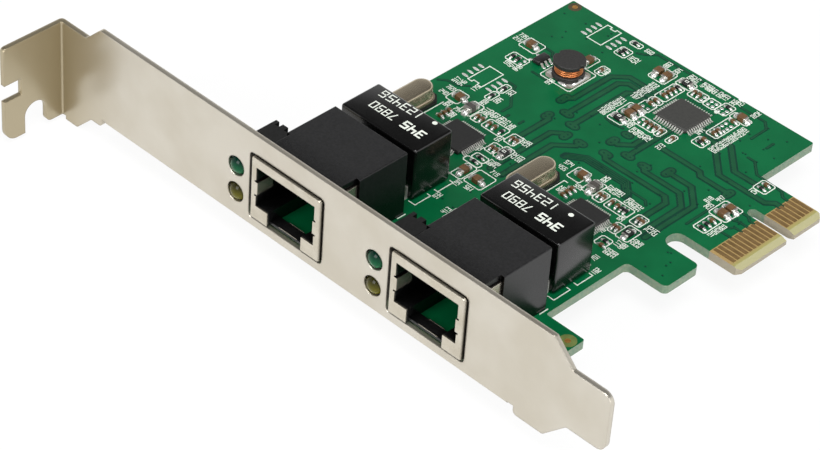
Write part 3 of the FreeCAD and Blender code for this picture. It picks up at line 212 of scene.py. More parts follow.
def printed(lines, width, low, high):
    """Thin closed slabs along flat lines, mitred at the corners and round at the ends.

    At each point a flat section stands across the halving line of the corner, as
    wide as the line over the cosine of the half turn.  A line that comes back to
    its start is closed, and each lies a hair above the last, so crossings stay clean.
    """
    hair = 0.001
    nose, slabs = np.array([(0.5, 0.25), (0.42, 0.55), (0.23, 0.9)]), []
    for at, line in enumerate(lines):
        path = np.array(line, float)
        closed = len(path) > 2 and np.allclose(path[0], path[-1])
        half = np.full(len(path), width / 2)
        if closed:
            path, half = path[:-1], half[:-1]
            ahead = np.roll(path, -1, 0) - path
            behind = np.roll(ahead, 1, 0)
        else:
            start, end = path[0] - path[1], path[-1] - path[-2]
            reach = width * nose[:, :1]
            path = np.vstack([path[0] + reach * start / np.linalg.norm(start), path,
                              path[-1] + (reach * end / np.linalg.norm(end))[::-1]])
            half = np.hstack([half[0] * nose[:, 1], half, half[0] * nose[::-1, 1]])
            steps = np.diff(path, axis=0)
            behind, ahead = np.vstack([steps[:1], steps]), np.vstack([steps, steps[-1:]])
        behind = behind / np.linalg.norm(behind, axis=1)[:, None]
        ahead = ahead / np.linalg.norm(ahead, axis=1)[:, None]
        halving = (behind + ahead) / np.linalg.norm(behind + ahead, axis=1)[:, None]
        across = np.stack([-halving[:, 1], halving[:, 0]], -1)
        across *= (half / (halving * ahead).sum(1))[:, None]
        flat = path[:, None] + across[:, None] * np.array([1, 1, -1, -1])[:, None]
        level = np.array([low, high, high, low]) + hair * (at % 5)
        level = np.broadcast_to(level, flat.shape[:2])
        points = np.concatenate([flat, level[..., None]], -1).reshape(-1, 3)
        slabs.append((points, skin(len(path), 4, closed)))
    return joined(slabs)


def piece(name, shape, finish, slot, *stands_for, smooth=True, welded=True,
          sharpest=40):
    """A mesh on the card, which may stand for solids of the frame.

    Welding its doubled points closes its seams and poles.  Edges that turn by more
    than the sharpest angle, in degrees, stay sharp.
    """
    points, faces = shape
    mesh = bpy.data.meshes.new(name)
    mesh.from_pydata((points - DATUM) / 1000, [], faces)
    tidy = bmesh.new()
    tidy.from_mesh(mesh)
    if welded:
        bmesh.ops.remove_doubles(tidy, verts=tidy.verts, dist=1e-7)
        bmesh.ops.dissolve_degenerate(tidy, edges=tidy.edges, dist=1e-8)
    bmesh.ops.recalc_face_normals(tidy, faces=tidy.faces)
    tidy.to_mesh(mesh)
    tidy.free()
    mesh.materials.append(finish)
    made = bpy.data.objects.new(name, mesh)
    bpy.context.scene.collection.objects.link(made)
    if smooth:
        mesh.shade_smooth()
        mesh.set_sharp_from_angle(angle=math.radians(sharpest))
    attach(made, "root")
    if stands_for:
        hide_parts(*stands_for)


def laid(name, lines, width, low, high, finish, slot):
    """Flat lines printed or plated on the card, kept faceted and apart."""
    piece(name, printed(lines, width, low, high), finish, slot, smooth=False,
          welded=False)


# Over etched resin the mask looks nearly black, and over copper a duller, greyer green.
gap_green = mottled("mask_over_etched_gap", "#033226", "#053A2A", 3.0, 1.0,
                    Roughness=0.3, Specular_IOR_Level=0.3)
run_green = mottled("mask_over_copper", "#11472C", "#164F32", 3.0, 1.0,
                    Roughness=0.28, Specular_IOR_Level=0.3)

# Each run is a list of (x, y) points; the pairs end in two vias side by side.
pairs = [
    [(81.9, 57.3), (86.8, 57.3), (90.3, 53.8), (90.3, 42.0)],
    [(78.4, 55.4), (79.2, 54.6), (86.6, 54.6), (89.1, 52.1), (89.1, 42.0)],
    [(72.0, 53.2), (73.0, 52.2), (85.6, 52.2), (86.8, 51.0), (86.8, 42.0)],
    [(70.5, 56.6), (71.6, 56.6), (73.4, 58.4), (73.4, 61.5)],
    [(74.75, 55.7), (74.75, 66.0)],
    [(67.4, 52.3), (67.4, 51.2), (64.7, 48.5), (64.7, 36.5)],
    [(57.5, 59.2), (58.5, 60.4), (58.5, 69.6), (60.7, 71.9), (66.6, 71.9)],
    [(60.6, 56.5), (60.6, 69.1), (61.9, 70.4), (66.6, 70.4)],
    [(63.3, 54.9), (63.3, 68.3), (64.0, 69.0), (66.6, 69.0)],
    [(59.0, 53.8), (59.65, 53.1), (59.65, 46.2)],
    [(64.5, 52.0), (63.6, 52.0), (62.3, 50.7), (62.3, 36.5)],
    [(78.0, 70.3), (84.1, 70.3), (88.8, 65.6), (93.2, 65.6)],
    [(80.0, 69.0), (81.7, 69.0), (87.7, 63.0), (97.2, 63.0), (98.4, 64.2), (99.4, 64.2)],
    [(76.5, 61.3), (85.1, 61.3), (86.0, 60.4), (91.5, 60.4)],
]
singles = [
    [(48.6, 55.6), (49.9, 55.6), (50.9, 53.6), (53.2, 51.0), (53.2, 48.9)],
    [(57.0, 78.0), (58.2, 78.7), (59.6, 80.3), (76.2, 80.3)],
    [(78.4, 79.6), (83.6, 79.6), (85.0, 78.2), (85.0, 74.4)],
    [(87.9, 70.1), (89.3, 70.1), (91.7, 67.7), (97.2, 67.3), (98.2, 66.3), (99.4, 66.2)],
    [(88.3, 74.3), (88.3, 76.0)], [(92.4, 49.6), (92.4, 56.4)],
    [(96.4, 58.3), (97.8, 58.3), (98.6, 57.6), (99.4, 57.6)],
    [(97.2, 53.4), (98.2, 54.6), (99.4, 54.6)], [(96.8, 52.2), (99.4, 52.2)],
    [(96.7, 55.8), (97.6, 56.2), (99.4, 56.2)], [(49.0, 60.7), (53.0, 60.7)],
    [(44.9, 49.9), (43.4, 48.5), (41.4, 48.2), (40.2, 47.2)],
    [(45.5, 67.4), (47.5, 67.3), (48.2, 66.4)], [(54.6, 49.0), (54.6, 48.2)],
    [(57.3, 49.6), (57.3, 48.6)], [(65.6, 60.5), (67.2, 60.2), (69.3, 60.5)],
    [(80.4, 49.1), (84.2, 49.1), (85.1, 48.2)],
]
vias = [
    ((81.9, 56.7), (81.9, 58.0)), ((77.9, 55.6), (78.8, 55.6)),
    ((71.6, 53.3), (72.5, 53.3)), ((70.5, 56.2), (70.5, 57.2)),
    ((74.3, 55.6), (75.2, 55.6)), ((70.7, 59.7), (71.3, 59.7)),
    ((67.0, 52.3), (67.9, 52.3)), ((57.5, 58.4), (57.5, 59.8)),
    ((60.1, 56.5), (61.1, 56.5)), ((62.9, 54.8), (63.9, 54.8)),
    ((58.8, 53.3), (58.8, 54.2)), ((64.5, 51.5), (64.5, 52.4)),
    ((91.9, 59.8), (91.9, 60.9)),
]
bus = [[(68.0, 47.4 + 0.42 * at), (70.8, 49.4 + 0.42 * at), (79.2, 49.4 + 0.42 * at),
        (81.6, 47.0 + 0.42 * at)] for at in range(4)]
fans = []
for x, y, half_row in ((73.85, 70.2, 2.75), (53.4, 38.1, 2.4), (80.6, 38.1, 2.4)):
    for along in np.linspace(-half_row, half_row, 12):
        for way in (-1, 1):
            fans.append([(x + along, y + 4.2 * way), (x + 1.15 * along, y + 5.5 * way)])
            fans.append([(x + 4.2 * way, y + along), (x + 5.5 * way, y + 1.15 * along)])
holes = [((x, y), (x + 0.1, y)) for via in vias for x, y in via]
spread = np.random.default_rng(7)
for x0, y0, x1, y1, count in ((41, 69, 56, 79, 12), (57, 47, 91, 60, 30),
                              (62, 33, 67, 42, 6), (84, 60, 91, 80, 14),
                              (94, 49, 98, 62, 9), (62, 20, 72, 32, 8),
                              (94, 36.5, 99, 42.5, 6)):
    x, y = spread.uniform((x0, y0), (x1, y1), (count, 2)).T
    holes += [((a, b), (a + 0.06, b)) for a, b in zip(x, y)]

# Each layer of lines ends a few thousandths above the last, so that no two share a face.
for name, lines, width, high, green in (
        ("fan_gaps", fans, 0.16, 0.002, gap_green),
        ("gaps_beside_pairs", pairs, 1.35, 0.009, gap_green),
        ("gaps_beside_bus", [bus[1], bus[2]], 1.5, 0.016, gap_green),
        ("gaps_beside_singles", singles, 0.55, 0.023, gap_green),
        ("gaps_round_vias", vias, 1.85, 0.030, gap_green),
        ("paired_runs", pairs, 0.75, 0.037, run_green),
        ("bus_runs", bus, 0.2, 0.037, run_green),
        ("single_runs", singles, 0.2, 0.037, run_green),
        ("via_lands", vias, 1.3, 0.044, run_green),
        ("tented_holes", holes, 0.32, 0.051, gap_green)):
    laid(name, lines, width, -0.04, high, green, "solder_mask")

# ------------------------------------------------------------------ the white ink
# Epoxy ink screened over the mask: a frame round each part or row of parts, the
# plain numbers beside them and the corner marks of the big parts.

# Each digit is drawn in strokes on a grid one wide and two high.
STROKES = {
    "0": [[(0, 0), (1, 0), (1, 2), (0, 2), (0, 0)]], "1": [[(0.5, 0), (0.5, 2)]],
    "2": [[(0, 2), (1, 2), (1, 1), (0, 1), (0, 0), (1, 0)]],
    "3": [[(0, 2), (1, 2), (1, 0), (0, 0)], [(0.2, 1), (1, 1)]],
    "4": [[(0, 2), (0, 1), (1, 1)], [(1, 2), (1, 0)]],
    "5": [[(1, 2), (0, 2), (0, 1), (1, 1), (1, 0), (0, 0)]],
    "6": [[(1, 2), (0, 2), (0, 0), (1, 0), (1, 1), (0, 1)]],
    "7": [[(0, 2), (1, 2), (0.3, 0)]],
    "8": [[(0, 0), (1, 0), (1, 2), (0, 2), (0, 0)], [(0, 1), (1, 1)]],
    "9": [[(0, 0), (1, 0), (1, 2), (0, 2), (0, 1), (1, 1)]],
}


def number(text, x, y, degrees, height, pitch):
    """The strokes of a number, from its lower left corner along its reading line.

    A digit fills 0.62 of the pitch; the gap to the next one takes the rest.
    """
    turn = math.radians(degrees)
    lines = []
    for at, digit in enumerate(text):
        for stroke in STROKES[digit]:
            flat = np.array(stroke, float) * (0.62 * pitch, height / 2) + (at * pitch, 0)
            across, up = flat.T
            lines.append(list(zip(x + across * math.cos(turn) - up * math.sin(turn),
                                  y + across * math.sin(turn) + up * math.cos(turn))))
    return lines


def ink_frame(x0, y0, x1, y1, cut=0.3):
    """A rectangle with cut corners, as one closed line."""
    return [(x0 + cut, y0), (x1 - cut, y0), (x1, y0 + cut), (x1, y1 - cut),
            (x1 - cut, y1), (x0 + cut, y1), (x0, y1 - cut), (x0, y0 + cut),
            (x0 + cut, y0)]


# Near left and far right corners of each frame.
frames = [
    (54.1, 79.1, 56.5, 80.4), (54.1, 75.1, 56.5, 77.7), (62.2, 74.6, 65.8, 78.4),
    (42.1, 64.5, 45.8, 67.6), (43.1, 60.1, 46.8, 62.6), (50.2, 61.1, 56.8, 68.0),
    (52.4, 68.2, 54.4, 71.7), (55.6, 68.5, 57.4, 71.0), (66.6, 76.5, 69.9, 78.7),
    (66.7, 71.1, 69.2, 76.3), (66.7, 69.5, 69.2, 70.9), (66.6, 66.6, 69.2, 69.3),
    (65.4, 63.1, 69.0, 66.9), (65.4, 60.8, 68.6, 63.1), (69.1, 63.1, 73.3, 65.6),
    (73.4, 63.1, 74.7, 65.5), (75.9, 63.1, 77.1, 65.5), (70.0, 75.5, 73.2, 77.9),
    (73.4, 75.5, 75.8, 77.9), (75.9, 75.6, 78.2, 78.8), (78.6, 76.2, 82.3, 78.0),
    (78.9, 69.9, 81.3, 76.1), (78.9, 66.2, 81.3, 68.6), (93.3, 64.6, 95.9, 67.5),
    (92.7, 54.4, 96.4, 58.8), (93.4, 49.8, 95.9, 54.2), (48.5, 52.3, 49.9, 54.9),
    (48.5, 49.4, 49.9, 52.0), (44.3, 44.6, 47.0, 47.8), (48.2, 43.7, 50.7, 47.5),
    (50.9, 43.5, 52.7, 46.1), (53.4, 43.5, 57.8, 46.1), (58.6, 43.3, 60.8, 46.1),
    (71.5, 44.3, 74.3, 47.6), (75.4, 43.5, 77.9, 47.2), (78.0, 43.1, 79.9, 45.8),
    (80.5, 43.1, 85.1, 45.8), (85.9, 43.1, 88.1, 45.8), (58.1, 39.3, 60.1, 42.0),
    (60.1, 39.2, 62.1, 42.7), (58.1, 36.3, 60.8, 38.0), (57.6, 34.9, 61.0, 36.2),
    (58.9, 30.7, 61.2, 34.8), (61.5, 31.0, 65.2, 35.0), (84.9, 39.0, 86.7, 41.8),
    (86.7, 38.9, 89.3, 42.6), (85.6, 35.2, 87.8, 37.6),
]

# Outlines of the empty chips and the corners of the big parts, as (x, y) points.
marks = [
    [(49.3, 80.3), (48.3, 80.3), (48.3, 75.0), (51.4, 75.0), (51.4, 80.3), (50.4, 80.3),
     (50.4, 79.8), (49.3, 79.8), (49.3, 80.3)],
    [(44.2, 51.1), (43.3, 51.1), (43.3, 56.4), (46.4, 56.4), (46.4, 51.1), (45.4, 51.1),
     (45.4, 51.6), (44.2, 51.6), (44.2, 51.1)],
    [(60.3, 29.3), (61.0, 29.3), (61.0, 25.8), (60.3, 25.8)],
    [(60.3, 24.2), (61.0, 24.2), (61.0, 20.7), (59.6, 20.7)],
    [(90.4, 29.0), (91.1, 29.0), (91.1, 25.5), (90.4, 25.5)],
    [(90.4, 23.9), (91.1, 23.9), (91.1, 20.2), (89.8, 20.2)],
    [(66.5, 25.0), (65.9, 25.0), (65.9, 21.9), (66.5, 21.9)],
    [(66.3, 29.2), (66.3, 28.4)], [(66.3, 27.8), (66.3, 26.9)],
    [(45.1, 33.0), (45.1, 43.4)], [(72.3, 33.0), (72.3, 43.1), (73.0, 43.1)],
    [(61.6, 17.9), (61.6, 16.2)], [(91.9, 18.0), (91.9, 16.2)],
]

# Where each three-digit label starts, and its turn in degrees.
labels = [
    (44.9, 58.8, 90), (46.0, 58.8, 90), (47.1, 58.8, 90), (51.2, 52.9, 90),
    (51.2, 49.8, 90), (46.4, 49.4, 90), (43.9, 48.8, 90), (42.7, 48.8, 90),
    (50.0, 47.6, 90), (42.5, 46.7, 0), (42.5, 45.0, 0), (51.8, 46.4, 90),
    (52.8, 46.4, 90), (53.8, 46.4, 90), (55.1, 46.4, 90), (56.1, 46.4, 90),
    (57.5, 46.2, 90), (61.3, 44.8, 90), (62.4, 44.8, 90), (46.4, 42.9, 90),
    (48.9, 41.2, 90), (47.4, 43.3, 0), (63.0, 41.0, 90), (64.3, 41.0, 90),
    (69.1, 46.5, 0), (69.1, 44.9, 0), (76.9, 47.6, 90), (78.9, 46.4, 90),
    (80.0, 46.4, 90), (81.0, 46.4, 90), (83.1, 46.2, 90), (84.2, 46.2, 90),
    (85.3, 46.0, 90), (89.8, 43.3, 90), (91.0, 43.3, 90), (74.2, 43.2, 0),
    (73.9, 40.4, 90), (92.3, 57.7, 90), (91.2, 56.2, 90), (92.3, 54.9, 90),
    (57.4, 79.4, 0), (57.9, 75.4, 90), (58.8, 75.4, 90), (63.1, 78.7, 90),
    (65.3, 78.6, 90), (40.3, 66.6, 0), (40.3, 65.2, 0), (57.6, 69.3, 90),
    (53.2, 60.1, 90), (70.9, 79.0, 90), (72.0, 79.0, 90), (73.0, 79.0, 90),
    (74.4, 79.0, 90), (75.5, 79.0, 90), (68.0, 79.0, 90), (69.1, 79.0, 90),
    (77.2, 79.1, 90), (78.2, 79.6, 90), (69.9, 61.4, 90), (71.3, 60.7, 90),
    (72.3, 60.7, 90), (73.3, 60.7, 90), (74.3, 60.7, 90), (77.0, 60.7, 90),
    (78.6, 68.7, 90), (93.3, 63.6, 0), (58.0, 38.1, 90), (61.8, 36.9, 90), (62.8, 36.9, 90),
    (63.0, 35.6, 0), (61.9, 29.0, 90), (62.9, 29.7, 0), (62.1, 24.4, 90),
    (65.6, 22.7, 90), (85.1, 37.8, 90), (90.2, 39.2, 90), (91.3, 39.2, 90),
    (89.0, 37.0, 90), (90.0, 37.0, 90), (89.2, 34.4, 90), (90.3, 34.4, 90),
    (88.9, 31.8, 90), (91.2, 29.4, 90), (58.4, 42.4, 90), (85.2, 42.2, 90),
]

# Stacks of labels a millimetre apart: start, rows and digits.
columns = [(64.1, 68.1, 6, 3), (63.3, 60.9, 6, 3), (82.1, 66.9, 9, 3),
           (96.3, 50.0, 4, 2), (80.9, 79.0, 2, 2)]

# Screened ink dries flat and matt, a little grey where the screen left it thin.
white_ink = mottled("white_screened_ink", "#DFE3DA", "#CCD2C8", 0.8, 1.0, Roughness=0.6)
numbers = []
for at, (x, y, turn) in enumerate(labels):
    numbers += number(str(10 + 37 * at % 89) + str(at % 10), x, y, turn, 0.9, 0.56)
for x, y, rows, digits in columns:
    for at in range(rows):
        numbers += number(str(123 + 37 * at + int(x))[:digits], x, y + at, 0, 0.74, 0.57)
laid("ink_numbers", numbers, 0.115, -0.02, 0.058, white_ink, "solder_mask")
outlines = [ink_frame(*corners) for corners in frames] + marks
laid("ink_frames", outlines, 0.17, -0.02, 0.052, white_ink, "solder_mask")
pin_mark = [[(76.55, 75.5), (76.55, 75.9)]]
laid("ink_first_pin", pin_mark, 0.75, -0.02, 0.058, white_ink, "solder_mask")

# Two sighting marks for the assembly machine: a copper dot in a ring of bare resin.
# The first ring's dark brown is painted shade; the second ring shows the resin's own
# brownish green.
sights = [(41.0, 80.0, 2.4, "#3B3420", "#463E26"), (98.8, 14.9, 2.9, "#5F6B37", "#6C7A40")]

# Bare copper dulls to a soft orange, and the resin round it is a brownish green; the first
# ring is painted a darker brown as painted shade.
copper_dot = mottled("bare_copper_sight", "#B98A48", "#A3763A", 0.4, 1.0,
                     Metallic=0.6, Roughness=0.4)
for at, (x, y, width, deep, pale) in enumerate(sights):
    resin_ring = mottled("bare_resin_ring_%d" % at, deep, pale, 1.0, 1.0, Roughness=0.4)
    disc = [[(x, y - 0.02), (x, y + 0.02)]]
    laid("sight_ring_%d" % at, disc, width, -0.04, 0.01, resin_ring, "solder_mask")
    laid("sight_dot_%d" % at, disc, 1.0, -0.04, 0.03, copper_dot, "solder_mask")

# ------------------------------------------------------------------ the bare lands
# Lands left open in the mask and levelled with hot solder, among them the empty
# places of two eight-lead chips and of a few small parts.


def spun(profile, centre, straight=(0.0, 0.0), steps=6):
    """Carries a (reach, height) profile round four quarter arcs.

    The arcs are pushed apart by the straight runs, so that no run gives a turned
    shape, one run a stadium and two a rounded block.
    """
    profile = np.asarray(profile, float)
    turn = np.linspace(0, math.pi / 2, steps + 1) + np.arange(4)[:, None] * math.pi / 2
    arc = np.stack([np.cos(turn), np.sin(turn)], -1)
    run = np.array([[1, 1], [-1, 1], [-1, -1], [1, -1]])[:, None] * np.asarray(straight)
    ring = profile[:, 0, None, None, None] * arc + run
    height = np.broadcast_to(profile[:, 1, None, None, None], (*ring.shape[:3], 1))
    points = np.concatenate([ring, height], -1).reshape(len(profile), -1, 3)
    rows, around = points.shape[:2]
    return points.reshape(-1, 3) + centre, skin(rows, around)


def dome(x, y, half_x, half_y, height, low=-0.02):
    """Half an ellipsoid of solder: a unit dome stretched along each axis."""
    points, faces = spun([(0, 0), (1, 0), (0.9, 0.44), (0.58, 0.82), (0, 1)],
                         (0, 0, 0), steps=3)
    return points * (half_x, half_y, height - low) + (x, y, low), faces


# Solder freezes smooth and bright, so it mirrors the lamps; a levelled land is
# thinner, flatter and duller than a joint.
solder = mottled("bright_solder", "#E6E6E3", "#CFCFCC", 0.6, 1.0, Metallic=0.7,
                 Roughness=0.24)
land_tin = mottled("levelled_solder", "#D6D6D2", "#BDBDB8", 0.6, 1.0, Metallic=0.35,
                   Roughness=0.3)

# Two rows of four lands to each empty chip, 1.25 mm apart.
chip_lands = [dome(x, y, 0.75, 0.3, 0.1) for x in (47.15, 52.75)
              for y in (79.3, 78.05, 76.8, 75.55)]
chip_lands += [dome(x, y, 0.75, 0.3, 0.1) for x in (42.25, 47.65)
               for y in (55.4, 54.15, 52.85, 51.55)]
piece("open_chip_lands", joined(chip_lands), land_tin, "end_solder")
empty = [(67.4, 67.6), (68.5, 67.6), (69.9, 63.8), (69.9, 64.9), (46.15, 60.8),
         (46.15, 61.9), (72.65, 76.2), (72.65, 77.2), (74.15, 76.2), (74.15, 77.2),
         (75.15, 76.2), (75.15, 77.2), (76.5, 77.0), (77.6, 77.0), (76.5, 76.1),
         (77.6, 76.1), (79.6, 74.4), (80.7, 74.4), (79.6, 73.4), (80.7, 73.4),
         (79.6, 72.5), (80.7, 72.5)]
piece("empty_lands", joined([dome(x, y, 0.36, 0.34, 0.16) for x, y in empty]), solder,
      "end_solder")

# ------------------------------------------------------------- the card-edge pads
# Contact pads of copper on both faces of the tongue, plated with nickel and then
# with hard gold.

# Hard gold is satin rather than mirror bright, and looks a brownish yellow.
hard_gold = mottled("hard_gold_plating", "#8B6F44", "#7B6138", 1.5, 1.0,
                    Metallic=0.5, Roughness=0.4)
dress("edge_contacts", hard_gold)

# --------------------------------------------------------------- the chip parts
# Reflow-soldered ceramic capacitors, resistors and beads.  Their tinned ends are a
# little fatter than the fired bodies, and solder climbs each end.

# Fired titanate is a matt red-brown, a resistor's glaze a glossy black, pressed ferrite
# a matt grey, and plated tin a soft bright grey.  Their grain is drawn at about half a
# millimetre, coarser than it is, so that it shows.
brown_ceramic = mottled("fired_brown_ceramic", "#5A3F22", "#66492A", 0.6, 1.0,
                        Roughness=0.45)
black_glaze = mottled("black_resistor_glaze", "#101012", "#1C1C1E", 0.4, 1.0,
                      Roughness=0.35)
grey_ferrite = mottled("grey_bead_ferrite", "#3E3B37", "#4B4743", 0.4, 1.0,
                       Roughness=0.5)
tin_ends = mottled("matte_tin_ends", "#D2D0CA", "#B4B1AA", 0.5, 1.0,
                   Metallic=0.9, Roughness=0.3)


def case(low, high, radius, steps=4):
    """A rounded block: quarter arcs round its corners and its top and bottom edges."""
    low, high = np.asarray(low, float), np.asarray(high, float)
    half = (high - low) / 2
    corner = np.linspace(0, math.pi / 2, steps + 1)
    under = [(radius * math.sin(a), radius * (1 - math.cos(a))) for a in corner]
    over = [(radius * math.cos(a), 2 * half[2] - radius * (1 - math.sin(a)))
            for a in corner]
    centre = ((low[0] + high[0]) / 2, (low[1] + high[1]) / 2, low[2])
    return spun(under + over, centre, half[:2] - radius, steps)


def solids_of(node):
    """Lowest and highest corners of each box in a node, twelve triangles to a box."""
    mesh = nodes[node].data
    spots = np.empty(len(mesh.vertices) * 3)
    mesh.vertices.foreach_get("co", spots)
    corners = np.empty(len(mesh.loops), int)
    mesh.loops.foreach_get("vertex_index", corners)
    spots = spots.reshape(-1, 3)[corners].reshape(-1, 36, 3) * 1000 + DATUM
    return spots.min(1), spots.max(1)


resistor_marks = []
for kind, skin_finish, body_slot in (
        ("large_capacitor", brown_ceramic, "capacitor_ceramic"),
        ("small_capacitor", brown_ceramic, "capacitor_ceramic"),
        ("small_resistor", black_glaze, "resistor_ceramic"),
        ("large_resistor", black_glaze, "resistor_ceramic"),
        ("ferrite_bead", grey_ferrite, "ferrite")):
    low, high = solids_of(kind + "_bodies")
    end_low, end_high = solids_of(kind + "_ends")
    middle, end_middle = (low + high) / 2, (end_low + end_high) / 2
    away = end_middle - np.repeat(middle, 2, 0)
    away[:, 2] = 0
    away /= np.linalg.norm(away, axis=1)[:, None]
    half = (end_high - end_low) / 2
    small = "small" in kind

    # Solder wets the land past the end and climbs it, and the tin wraps onto the body.
    wet, grown, climb = (0.3, 0.1, 0.8) if small else (0.5, 0.28, 0.7)
    toe = end_middle + away * (half * np.abs(away) + wet * 0.2)
    size = half * 0.95 + np.abs(away) * wet
    end_low = end_low - np.maximum(away, 0) * grown
    end_high = end_high - np.minimum(away, 0) * grown
    bodies = [case(a + 0.02, b - 0.02, 0.04, 1) for a, b in zip(low - 0.06, high + 0.06)]
    ends = [case(a, b, 0.06 if small else 0.1, 1) for a, b in zip(end_low, end_high)]
    fillets = [dome(t[0], t[1], s[0], s[1], climb * h[2])
               for t, s, h in zip(toe, size, end_high)]
    piece(kind + "_blocks", joined(bodies), skin_finish, body_slot, kind + "_bodies")
    piece(kind + "_caps", joined(ends), tin_ends, "end_solder", kind + "_ends")
    piece(kind + "_fillets", joined(fillets), solder, "end_solder")
    if kind == "large_resistor":
        for x, y, z in middle:
            resistor_marks += number("0", x + 0.27, y - 0.2, 90, 0.54, 0.65)
        mark_level = high[0, 2] + 0.07
laid("resistor_numbers", resistor_marks, 0.12, 0.5, mark_level, white_ink,
     "resistor_ceramic")

# ------------------------------------------------------------------ the flat chips
# Flat packages moulded in black epoxy, with gull-wing leads on all four sides that
# are soldered flat on their lands.

# Silica-filled epoxy leaves the mould matt and dark grey, with a grain drawn at 0.4 mm,
# coarser than the silica, so that it shows.
chip_epoxy = mottled("dull_moulding_epoxy", "#2F2F2D", "#373734", 0.4, 1.0, 0.002,
                     Roughness=0.5)


def box_of(node):
    """A node's lowest and highest corners in millimetres from the bracket's corner."""
    return [np.array(end) * 1000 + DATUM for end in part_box(node)]


def bent_strip(path, thickness, width):
    """A flat strip along a path of (out, up) points: its four corners, carried along."""
    path = np.asarray(path, float)
    ahead = np.gradient(path, axis=0)
    side = np.stack([-ahead[:, 1], ahead[:, 0]], -1)
    side /= np.linalg.norm(side, axis=1)[:, None]
    offsets = np.array([[1, -1], [1, 1], [-1, 1], [-1, -1]])
    flat = path[:, None] + side[:, None] * offsets[None, :, :1] * thickness / 2
    across = np.broadcast_to(offsets[:, 1] * width / 2, flat.shape[:2])
    points = np.stack([flat[..., 0], across, flat[..., 1]], -1)
    return points.reshape(-1, 3), skin(len(path), 4)


def set_down(shape, x, y, degrees=0.0, out=0.0, along=0.0):
    """Slides a shape out and along, then turns it about the upright at x, y."""
    points, faces = shape
    turn = math.radians(degrees)
    reach, side = points[:, 0] + out, points[:, 1] + along
    return np.stack([x + reach * math.cos(turn) - side * math.sin(turn),
                     y + reach * math.sin(turn) + side * math.cos(turn),
                     points[:, 2]], -1), faces


# A finer filler gives a glossier, blacker epoxy, and matt tin on the leads is pale.
dark_epoxy = mottled("glossier_moulding_epoxy", "#191919", "#222221", 0.4, 1.0, 0.002,
                     Roughness=0.4)
tinned = mottled("tinned_leads", "#E0DED8", "#CBC9C3", 0.6, 1.0,
                 Metallic=0.6, Roughness=0.35)
gull = [(-0.1, 0.42), (0.1, 0.42), (0.2, 0.36), (0.38, 0.12), (0.48, 0.07), (0.85, 0.07)]
moulding = [(0, 0.1), (0.28, 0.1), (0.35, 0.4), (0.35, 0.44), (0.24, 0.72), (0.18, 0.78),
            (0, 0.78)]
for chip, pitch, count, epoxy in (("switch_chip", 0.5, 12, chip_epoxy),
                                  ("controller_1", 0.4, 13, dark_epoxy),
                                  ("controller_2", 0.4, 13, dark_epoxy)):
    low, high = box_of(chip + "_body")
    x, y = (low + high)[:2] / 2
    lead = bent_strip(gull, 0.12, 0.5 * pitch)
    piece(chip + "_moulding", spun(moulding, (x, y, 0), (2.9, 2.9), 3), epoxy,
          "chip_epoxy", chip + "_body")
    leads = [set_down(lead, x, y, 90 * side, 3.25, (at - (count - 1) / 2) * pitch)
             for side in range(4) for at in range(count)]
    piece(chip + "_legs", joined(leads), tinned, "tinned_lead", chip + "_leads")

# -------------------------------------------------------------- the power inductor
# A ferrite drum with dull dark flanges, each with two notches for the wire, wound
# with enamelled copper and stuck on two tinned feet.

# Ground ferrite is dull and nearly black; clear enamel leaves drawn copper glossy.
ferrite = mottled("ground_ferrite", "#242322", "#2F2E2D", 0.3, 1.0, 0.004, Roughness=0.5,
                  Specular_IOR_Level=0.35)
copper = mottled("enamelled_copper", "#D58A58", "#C67646", 2.0, 1.0,
                 Metallic=0.9, Roughness=0.3)
low, high = box_of("inductor_core")
spot = (low + high) / 2 * (1, 1, 0)
drum = [(0, 0.12), (2.7, 0.12), (2.8, 0.22), (2.8, 0.92), (2.7, 1.02), (1.3, 1.02),
        (1.3, 2.55), (2.7, 2.55), (2.8, 2.63), (2.8, 3.2), (2.7, 3.3), (0, 3.3)]

# The notches: the reach dips by a seventh near the two bearings where the wire leaves.
points, faces = spun(drum, (0, 0, 0), steps=16)
bearing = np.arctan2(points[:, 1], np.abs(points[:, 0]))
points[:, :2] *= (1 - 0.14 * np.exp(-(bearing / 0.13) ** 4))[:, None]
piece("drum_core", (points + spot, faces), ferrite, "ferrite", "inductor_core")

# Four rounded turns of wire, as the root of a sine along the winding.
turns = np.linspace(0, 1, 37)
coil = [(1.3, 1.02), *zip(2.3 + 0.14 * np.sqrt(np.abs(np.sin(turns * math.pi * 4))),
                          1.03 + 1.51 * turns), (1.3, 2.55)]
piece("copper_coil", spun(coil, spot, steps=12), copper, "copper_wire",
      "inductor_winding")
dress("inductor_terminals", tinned)
feet = [[(spot[0] + way * 1.9, spot[1] - 1.85), (spot[0] + way * 1.9, spot[1] + 1.85)]
        for way in (-1, 1)]

# The open parts of the two lands are a duller, browner tin than the feet.
foot_lands = mottled("tinned_foot_lands", "#B9B3A8", "#A7A197", 0.8, 1.0, Metallic=0.6,
                     Roughness=0.4)
laid("inductor_lands", feet, 2.3, -0.02, 0.05, foot_lands, "end_solder")
piece("foot_fillets", joined([dome(spot[0] + 2.4, spot[1], 0.5, 1.9, 0.5),
                              dome(spot[0] - 2.4, spot[1], 0.5, 1.9, 0.5),
                              dome(spot[0] + 1.1, spot[1] - 2.6, 1.0, 0.4, 0.35)]),
      solder, "end_solder")

